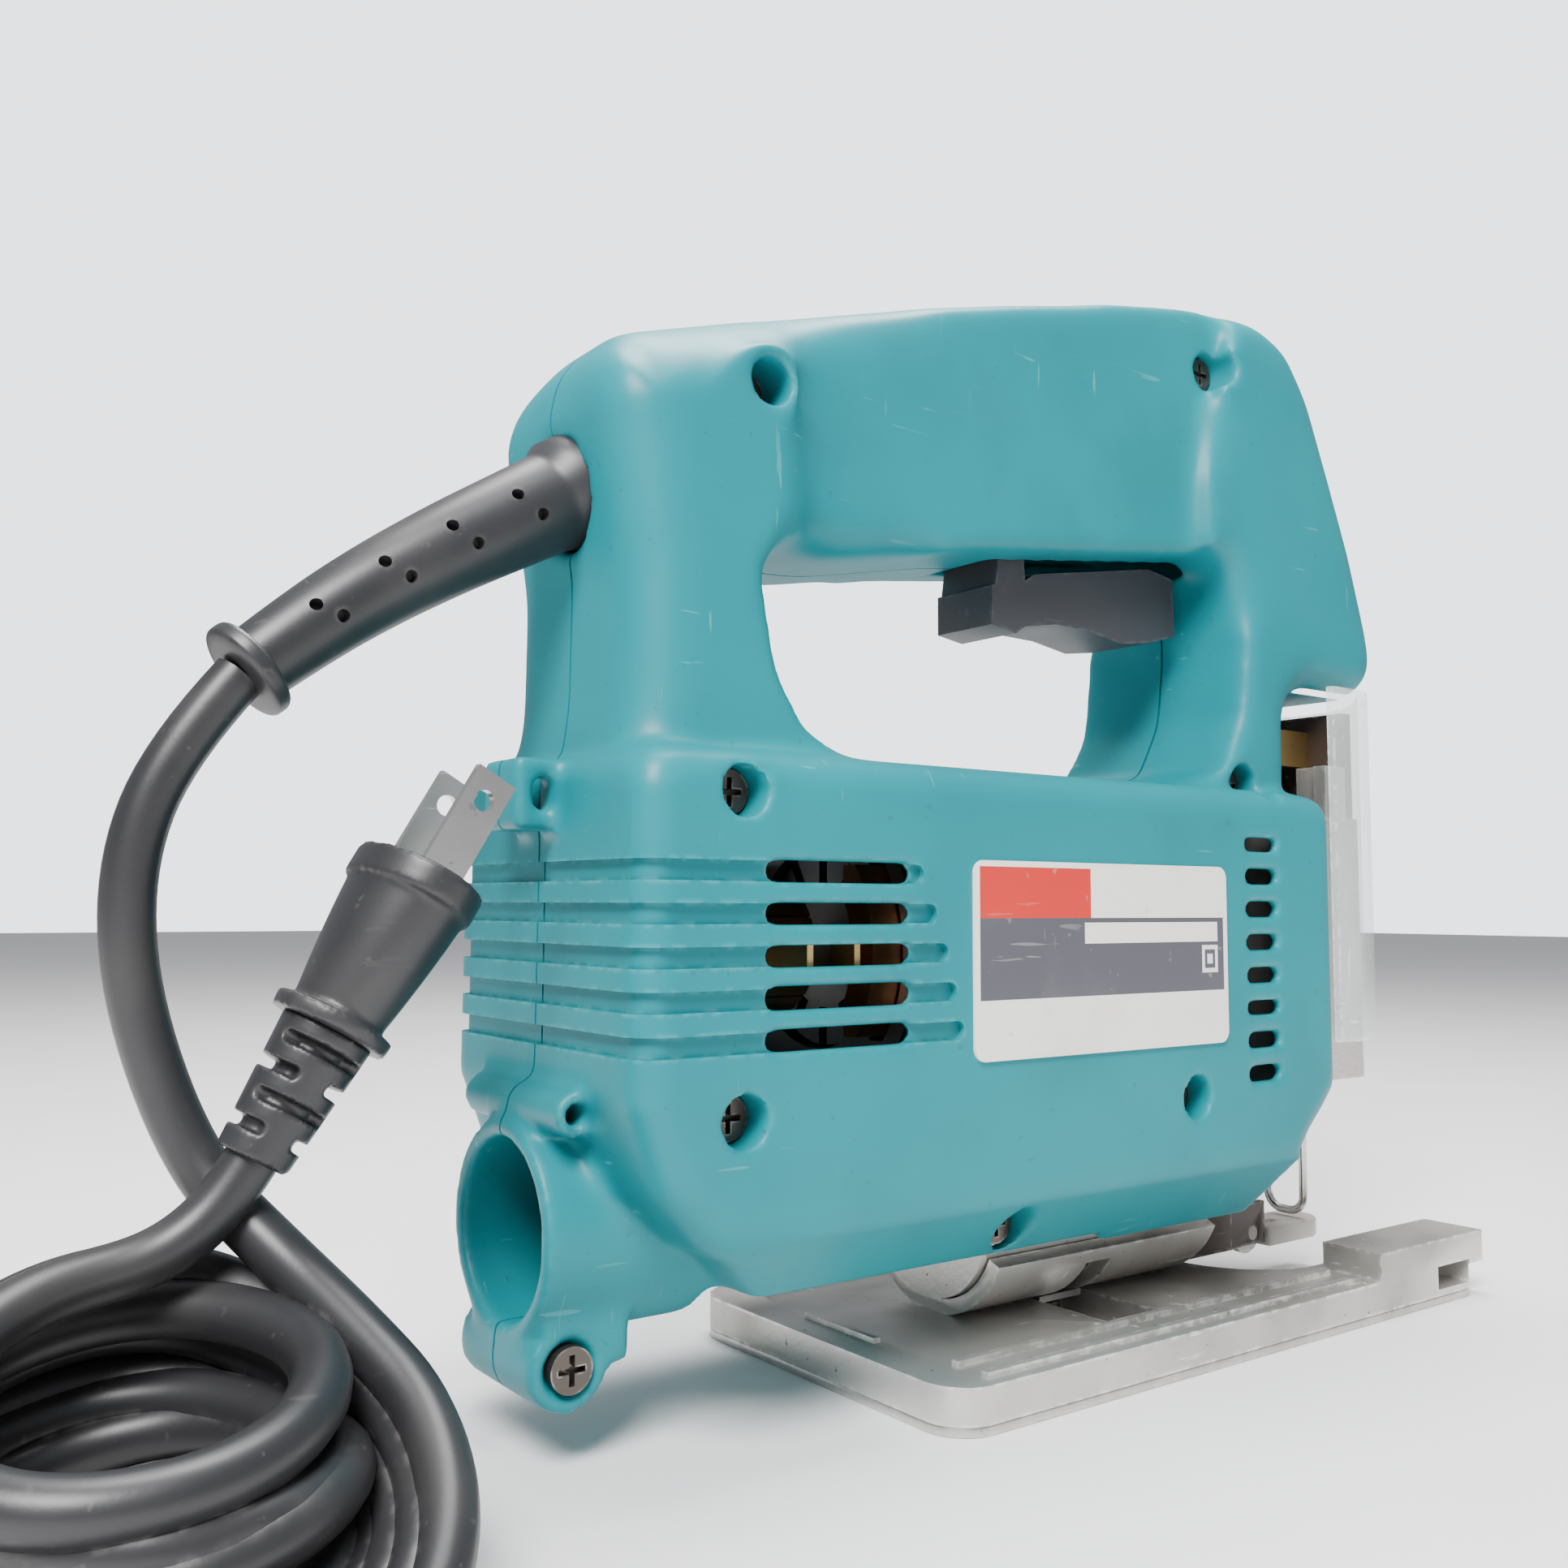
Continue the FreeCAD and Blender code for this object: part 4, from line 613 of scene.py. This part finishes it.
# %% [markdown]
# ## The two moulded shells
# The real shells flow into each other: the handle's sides roll softly into the posts,
# and the wide motor housing meets the narrower posts in a rounded shoulder. Plain
# solids meet there in hard lines. Both shells are joined, given one even skin by
# voxel remeshing, and smoothed only where the real ones are soft, by weights worked
# out from each point's place. Then they are cut apart again along the middle plane.

# %% One even skin
VOXEL = 0.00092
shells = merged_copy("shells", "housing_right", "housing_left")
apply_modifier(shells, "REMESH", mode="VOXEL", voxel_size=VOXEL)
print("shell skin points:", len(shells.data.vertices))

# %% Where the skin may soften
SCREW_PLACES = [(-71.5, 164.0), (43.5, 192.6), (-82.0, 98.0), (46.2, 106.0),
                (-81.8, 50.4), (19.0, 46.6), (-23.7, 27.6)]
LOCK_PLACE = (20.0, 172.0)
GUARD_FOOT = (-97, 145.6)


def softness(x, y, z):
    """0 keeps a point, 1 lets it move with its neighbours; x, y, z in millimetres."""
    weight = 0.05
    # the handle and its posts, and the shoulder where they meet the motor housing
    weight = max(weight, step(z, 106, 111))
    weight = max(weight, step(abs(y), 14, 18) * step(z, 97.5, 101) * (1 - step(z, 112, 116)))
    # the cone between the dust nozzle and the body
    nozzle = step(x, -101, -98) * (1 - step(x, -76, -70)) * (1 - step(z, 50, 54))
    weight = max(weight, 0.75 * nozzle * step(z, 20, 25))
    # screw wells, the bend guard's socket, the trigger slot and the lock button's hole
    for at, height in SCREW_PLACES:
        away = math.hypot(x - at, z - height)
        weight *= step(away, 4.6, 9.0) if away < 9 else 1.0
    along, up = x - GUARD_FOOT[0], z - GUARD_FOOT[1]
    if x < -86:
        weight *= step(math.hypot(y, along * 0.5 + up * 0.86), 9.6, 13.5)
    if -14 < x < 49 and abs(y) < 10.5 and 128 < z < 160:
        weight *= 0.12
    lock = math.hypot(x - LOCK_PLACE[0], z - LOCK_PLACE[1])
    if lock < 9 and y > 0:
        weight *= step(lock, 6.0, 9.0)
    # the front opening behind the cover, and the hook at the rear
    weight *= 1 - 0.9 * step(x, 60, 63) * (1 - step(z, 128.5, 131))
    if x < -97 and 91 < z < 105 and abs(y) < 7.5:
        weight = 0.0
    return weight


def weigh(item, rule, title):
    """A vertex group whose weights come from a rule over x, y, z in millimetres."""
    group = item.vertex_groups.new(name=title)
    for point in item.data.vertices:
        x, y, z = (c * 1000 for c in point.co)
        value = rule(x, y, z)
        if value > 0.001:
            group.add([point.index], value, "REPLACE")


# %% Soften the skin by those weights
weigh(shells, softness, "soft")
apply_modifier(shells, "SMOOTH", factor=0.5, iterations=60, vertex_group="soft")
apply_modifier(shells, "SMOOTH", factor=0.5, iterations=2)
print("softened groups:", [g.name for g in shells.vertex_groups])


# %% Soften the ends of the grip further
def handle_softness(x, y, z):
    """Only the two ends of the grip, where it swells out of the posts."""
    rear = step(x, -72, -62) * (1 - step(x, -40, -28)) * step(z, 112, 122)
    front = step(x, 38, 46) * (1 - step(x, 60, 66)) * step(z, 136, 146)
    return max(rear, front) * softness(x, y, z) * (1 - step(z, 180, 196))


weigh(shells, handle_softness, "handle ends")
apply_modifier(shells, "SMOOTH", factor=0.5, iterations=260, vertex_group="handle ends")
print("softened groups:", [g.name for g in shells.vertex_groups])

# %% [markdown]
# ## Crown and channels
# The grip's top is round across, so the long edges are lowered by an amount that
# fades along the handle. Five shallow channels run round the rear of the body in line
# with the air slots. They are exact boolean cuts, because they have crisp edges.

# %% Crown the handle's top
SLICES = 500


def crown(item):
    """Lowers the long top edges, so the handle is round across and not flat."""
    tops = {}
    for point in item.data.vertices:
        cell = round(point.co.x * SLICES)
        tops[cell] = max(tops.get(cell, 0.0), point.co.z * 1000)
    for point in item.data.vertices:
        x, y, z = (c * 1000 for c in point.co)
        if z > 150 and x < 42:
            amount = mix(6.4, 3.2, step(x, -76, -46)) * (1 - step(x, 2, 42))
            amount *= step(z, 150, 170)
            deep = tops[round(point.co.x * SLICES)] - z
            for at, height in SCREW_PLACES:
                amount *= step(math.hypot(x - at, z - height), 4.0, 14.0)
            if y > 0:
                amount *= step(math.hypot(x - LOCK_PLACE[0], z - LOCK_PLACE[1]), 7.0, 14.0)
            drop = amount * step(abs(y), 5, 25) * (1 - step(deep, 5, 36))
            point.co.z -= drop * (1 - step(-x, 92, 97) * 0.4) * MM
    return len(tops)


print("slices of the top outline:", crown(shells))
apply_modifier(shells, "SMOOTH", factor=0.5, iterations=2)

# %% Channels that run round the rear from the air slots
CHANNELS = [(60.0, -41.0), (66.2, -42.6), (72.4, -44.4), (78.6, -46.8), (84.8, -49.6)]
CHANNEL_TALL, CHANNEL_DEEP = 3.0, 1.25
SIDE, REAR_FACE, CORNER = 31.3, -99.8, 5.2
CLEAR = 2.0


def rear_outline(inset):
    """The housing's rear outline, seen from above, moved in by the inset."""
    radius = CORNER - inset
    line = []
    for side in (-1, 1):
        bend = []
        for number in range(9):
            turn = math.radians(90 * number / 8)
            bend.append((REAR_FACE + CORNER - radius * math.sin(turn),
                         side * (SIDE - CORNER + radius * math.cos(turn))))
        line += bend if side < 0 else bend[::-1]
    return line


def channel_cutter(low, end):
    """A band round the rear: inner wall at the channel's floor, outer wall clear."""
    inner = rear_outline(CHANNEL_DEEP)
    outer = rear_outline(-CLEAR)
    inner = [(end, -SIDE + CHANNEL_DEEP)] + inner + [(end, SIDE - CHANNEL_DEEP)]
    outer = [(end, -SIDE - CLEAR)] + outer + [(end, SIDE + CLEAR)]
    mesh = bpy.data.meshes.new("channel")
    build = bmesh.new()
    levels = []
    for height in (low, low + CHANNEL_TALL):
        levels.append([[build.verts.new((x * MM, y * MM, height * MM)) for x, y in ring]
                       for ring in (inner, outer)])
    for n in range(len(inner) - 1):
        for ring in (0, 1):
            build.faces.new([levels[0][ring][n], levels[0][ring][n + 1],
                             levels[1][ring][n + 1], levels[1][ring][n]])
        for level in (0, 1):
            build.faces.new([levels[level][0][n], levels[level][0][n + 1],
                             levels[level][1][n + 1], levels[level][1][n]])
    for n in (0, len(inner) - 1):
        build.faces.new([levels[0][0][n], levels[0][1][n], levels[1][1][n], levels[1][0][n]])
    bmesh.ops.recalc_face_normals(build, faces=build.faces)
    build.to_mesh(mesh)
    build.free()
    return linked("channel", mesh)


def channel_ends():
    """Short upright-faced drums that round the forward end of every channel."""
    build = bmesh.new()
    for low, end in CHANNELS:
        for side in (-1, 1):
            middle = side * (SIDE - CHANNEL_DEEP + CLEAR)
            place = (Matrix.Translation((end * MM, middle * MM, (low + CHANNEL_TALL / 2) * MM))
                     @ Matrix.Rotation(math.pi / 2, 4, "X"))
            bmesh.ops.create_cone(build, cap_ends=True, segments=20, depth=2 * CLEAR * MM,
                                  radius1=CHANNEL_TALL / 2 * MM,
                                  radius2=CHANNEL_TALL / 2 * MM, matrix=place)
    mesh = bpy.data.meshes.new("channel ends")
    build.to_mesh(mesh)
    build.free()
    return linked("channel ends", mesh)


# %% Cut the channels
cutters = [channel_cutter(low, end) for low, end in CHANNELS] + [channel_ends()]
for cutter in cutters:
    cut = shells.modifiers.new("cut", "BOOLEAN")
    cut.operation, cut.solver, cut.object = "DIFFERENCE", "EXACT", cutter
only(shells)
for cut in list(shells.modifiers):
    bpy.ops.object.modifier_apply(modifier=cut.name)
for cutter in cutters:
    bpy.data.objects.remove(cutter)
print("shell points with channels:", len(shells.data.vertices))

# %% [markdown]
# ## Two shells again
# The skin is cut along the middle plane, and a fine gap is left as the seam.

# %% Cut the shells apart with a fine seam
def half_of(item, title, side):
    """The part of a closed piece on one side of Y 0, closed along the cut."""
    part = linked(title, item.data.copy())
    only(part)
    bpy.ops.object.mode_set(mode="EDIT")
    bpy.ops.mesh.select_all(action="SELECT")
    bpy.ops.mesh.bisect(plane_co=(0, side * SEAM_HALF, 0), plane_no=(0, side, 0),
                        use_fill=True, clear_inner=True)
    bpy.ops.object.mode_set(mode="OBJECT")
    smooth(part, 50)
    return part


SEAM_HALF = 0.00027
right_shell = half_of(shells, "right_shell", -1)
left_shell = half_of(shells, "left_shell", 1)
bpy.data.objects.remove(shells)
place_piece(right_shell, "tool", "housing_teal", "housing_right")
place_piece(left_shell, "tool", "housing_teal", "housing_left")

# %% [markdown]
# ## The cast base and its sole
# The base is a die casting: flat, with two long ribs, two raised horns with a slot for
# a rip fence, and a half-round cradle. Its edges are worn round and bright. A merged
# copy of the solid with bevelled edges keeps every hole where the joints need it.

# %% Base casting, sole, and small steel parts with eased edges
COLLAR_GAP = 0.0007
EASED = [("base_casting", "base_plate", "base", "cast_aluminium", 0.00055, 3),
         ("sole_sheet", "base_sole", "base", "sole_steel", 0.00025, 2),
         ("finger_lever", "trigger", "trigger", "trigger_grey", 0.0011, 4),
         ("roller_fork", "roller_holder", "tool", "dark_steel", 0.0006, 3),
         ("blade_guide", "roller_retainer", "tool", "white_plastic", 0.0007, 3),
         ("blade_collar", "blade_clamp", "slider", "dark_steel", 0.0004, 2)]
for title, node_name, body, slot_name, width, segments in EASED:
    piece = merged_copy(title, node_name)
    ease_edges(piece, width, segments)
    if title == "blade_collar":
        top = max(point.co.z for point in piece.data.vertices) - COLLAR_GAP
        for point in piece.data.vertices:
            point.co.z = min(point.co.z, top)
    place_piece(piece, body, slot_name, node_name)

# %% [markdown]
# ## The moulded plug
# Plug and strain relief are soft rubber from one mould, so every edge is round and
# the flanges swell out of the grip. The solids give the shape and the slots; an even
# skin is laid over each and its edges are relaxed.

# %% Plug grip and segmented strain relief
for title, node_name, voxel, rounds in (("plug_grip", "plug_body", 0.00042, 9),
                                        ("plug_sleeve", "plug_relief", 0.00032, 3)):
    piece = merged_copy(title, node_name)
    apply_modifier(piece, "REMESH", mode="VOXEL", voxel_size=voxel)
    apply_modifier(piece, "SMOOTH", factor=0.5, iterations=rounds)
    smooth(piece, 60)
    place_piece(piece, "tool", "cord_rubber", node_name)

# %% [markdown]
# ## The clear dust cover
# One sheet of clear plastic is folded round the front in a U with generous corners.
# Its flat faces are cleaned first, so that only the upright corners are bevelled.

# %% Clear cover with rounded corners
clear_cover = merged_copy("clear_cover", "dust_cover")
only(clear_cover)
bpy.ops.object.mode_set(mode="EDIT")
bpy.ops.mesh.select_all(action="SELECT")
bpy.ops.mesh.dissolve_limited(angle_limit=math.radians(1.0))
bpy.ops.object.mode_set(mode="OBJECT")
COVER_BEND = 6.2 * MM
LONG_EDGE, FRONT_FROM = 50 * MM, 72 * MM
shape = bmesh.new()
shape.from_mesh(clear_cover.data)
corners = [edge for edge in shape.edges
           if abs(edge.verts[0].co.z - edge.verts[1].co.z) > LONG_EDGE
           and min(v.co.x for v in edge.verts) > FRONT_FROM]
bmesh.ops.bevel(shape, geom=corners, offset=COVER_BEND, segments=7, profile=0.5,
                affect="EDGES", clamp_overlap=True)
shape.to_mesh(clear_cover.data)
shape.free()
smooth(clear_cover, 35)
place_piece(clear_cover, "cover", "clear_plastic", "dust_cover")


# %% [markdown]
# ## The bend guard
# A tapered rubber sleeve keeps the cord from kinking where it leaves the handle. It
# has pairs of small holes along it and a collar at its tip. The sleeve follows the
# guard's own NURBS line, so rings of points are set square to that line and bridged.

# %% The guard's line, read from its NURBS curve
def line_points(route):
    """Points along the NURBS line of a route, in metres, and the way it runs at each."""
    path = nurbs_through("route", route)
    bpy.context.view_layer.update()
    mesh = bpy.data.meshes.new_from_object(path)
    points = [v.co.copy() for v in mesh.vertices]
    bpy.data.meshes.remove(mesh)
    bpy.data.objects.remove(path)
    ways = [(points[min(i + 1, len(points) - 1)] - points[max(i - 1, 0)]).normalized()
            for i in range(len(points))]
    return points, ways


def sleeve_mesh(title, points, ways, radii, sides=40):
    """A closed sleeve through rings of the given radii, square to the line."""
    bpy.ops.object.select_all(action="DESELECT")
    bpy.ops.mesh.primitive_circle_add(vertices=sides, radius=1.0, fill_type="NOTHING")
    sleeve = bpy.context.object
    sleeve.name = title
    mesh = bmesh.new()
    rings = []
    for point, way, radius in zip(points, ways, radii):
        across = Vector((0, 1, 0))
        up = way.cross(across).normalized()
        across = up.cross(way).normalized()
        rings.append([mesh.verts.new(point + (across * math.cos(2 * math.pi * s / sides)
                                              + up * math.sin(2 * math.pi * s / sides))
                                     * radius) for s in range(sides)])
    for first, second in zip(rings, rings[1:]):
        for s in range(sides):
            mesh.faces.new((first[s], first[(s + 1) % sides],
                            second[(s + 1) % sides], second[s]))
    mesh.faces.new(rings[0])
    mesh.faces.new(rings[-1])
    mesh.to_mesh(sleeve.data)
    mesh.free()
    only(sleeve)
    bpy.ops.object.mode_set(mode="EDIT")
    bpy.ops.mesh.select_all(action="SELECT")
    bpy.ops.mesh.normals_make_consistent(inside=False)
    bpy.ops.object.mode_set(mode="OBJECT")
    return sleeve


guard_line, guard_turns = line_points(GUARD_ROUTE)
walked = [0.0]
for first, second in zip(guard_line, guard_line[1:]):
    walked.append(walked[-1] + (second - first).length)
whole = walked[-1]
print("guard length, mm:", round(whole * 1000, 1))


def guard_radius(distance):
    """Tapers from the housing to the collar's rounded bead at the tip."""
    radius = mix(8.0, 5.25, distance / whole) + 1.2 * (1 - step(distance * 1000, 0, 1.8))
    into = (whole - distance) / COLLAR
    if into < 1:
        radius = 5.3 + 2.0 * max(0.0, 1 - (2 * into - 1) ** 4) ** 0.5
    return radius * MM


def along_guard(distance):
    """The place on the guard's line and its direction, that far from the housing."""
    if distance <= 0:
        return guard_line[0] + guard_turns[0] * distance, guard_turns[0]
    for number in range(1, len(walked)):
        if walked[number] >= distance:
            break
    t = (distance - walked[number - 1]) / (walked[number] - walked[number - 1])
    return (guard_line[number - 1].lerp(guard_line[number], t),
            guard_turns[number - 1].lerp(guard_turns[number], t).normalized())

# %% Sleeve, collar and the pairs of holes
COLLAR = 0.0032
stops = [-0.006, -0.003] + [whole * n / 40 for n in range(37)]
stops = [d for d in stops if d < whole - COLLAR - 0.0002]
stops += [whole - COLLAR + COLLAR * n / 16 for n in range(17)]
rings = [along_guard(min(distance, whole)) for distance in stops]
bend_guard = sleeve_mesh("bend_guard", [r[0] for r in rings], [r[1] for r in rings],
                         [guard_radius(distance) for distance in stops])

drills = []
for share in (0.16, 0.36, 0.56, 0.76):
    for side in (-1, 1):
        for lean, shift in ((0.42, 0.018), (-0.16, -0.018)):
            point, way = along_guard((share + shift) * whole)
            radius = guard_radius((share + shift) * whole)
            up = way.cross(Vector((0, 1, 0))).normalized()
            if up.z < 0:
                up = -up
            out = (Vector((0, side, 0)) * math.cos(lean) + up * math.sin(lean)).normalized()
            bpy.ops.object.select_all(action="DESELECT")
            bpy.ops.mesh.primitive_cylinder_add(
                vertices=20, radius=0.00095, depth=0.004, location=point + out * radius,
                rotation=out.to_track_quat("Z", "Y").to_euler())
            drills.append(bpy.context.object)
bpy.ops.object.select_all(action="DESELECT")
for drill in drills:
    drill.select_set(True)
bpy.context.view_layer.objects.active = drills[0]
bpy.ops.object.join()
drill = bpy.context.object
apply_modifier(bend_guard, "BOOLEAN", object=drill, operation="DIFFERENCE", solver="EXACT")
bpy.data.objects.remove(drill)
smooth(bend_guard, 45)
place_piece(bend_guard, "tool", "cord_rubber", "cord_guard")


# %% [markdown]
# ## Floor and light
# A plain pale floor, an even pale sky and one broad soft lamp over the left shoulder
# give a bright studio look with a soft shadow under the base.

# %% Floor
bpy.ops.object.select_all(action="DESELECT")
bpy.ops.mesh.primitive_plane_add(size=8)
floor = bpy.context.object
floor.name = "floor"
floor.data.materials.append(finish("pale floor", (0.80, 0.79, 0.79), 0.55,
                                   vary=(0.78, 0.77, 0.77)))

# %% Sky and lamps
world = bpy.data.worlds.new("pale sky")
bpy.context.scene.world = world
world.use_nodes = True
sky = world.node_tree
glow = sky.nodes["Background"]
glow.inputs["Color"].default_value = (0.93, 0.95, 1.0, 1)
seen = sky.nodes.new("ShaderNodeLightPath")
sky.links.new(sums(sky, "ADD", 0.50, sums(sky, "MULTIPLY",
                                         seen.outputs["Is Camera Ray"], 2.4)),
              glow.inputs["Strength"])


def lamp(name, place, target, size, watts, color=(1, 1, 1)):
    bpy.ops.object.light_add(type="AREA", location=place)
    item = bpy.context.object
    item.name = name
    item.data.size = size
    item.data.energy = watts
    item.data.color = color
    item.rotation_euler = (Vector(target) - Vector(place)).to_track_quat("-Z", "Y").to_euler()
    return item


lamp("key lamp", (-0.55, -0.45, 0.80), (0, 0, 0.09), 0.40, 24)
lamp("top lamp", (0.10, 0.15, 0.95), (0, 0, 0.10), 0.5, 19)

# %% Update the scene
bpy.context.view_layer.update()
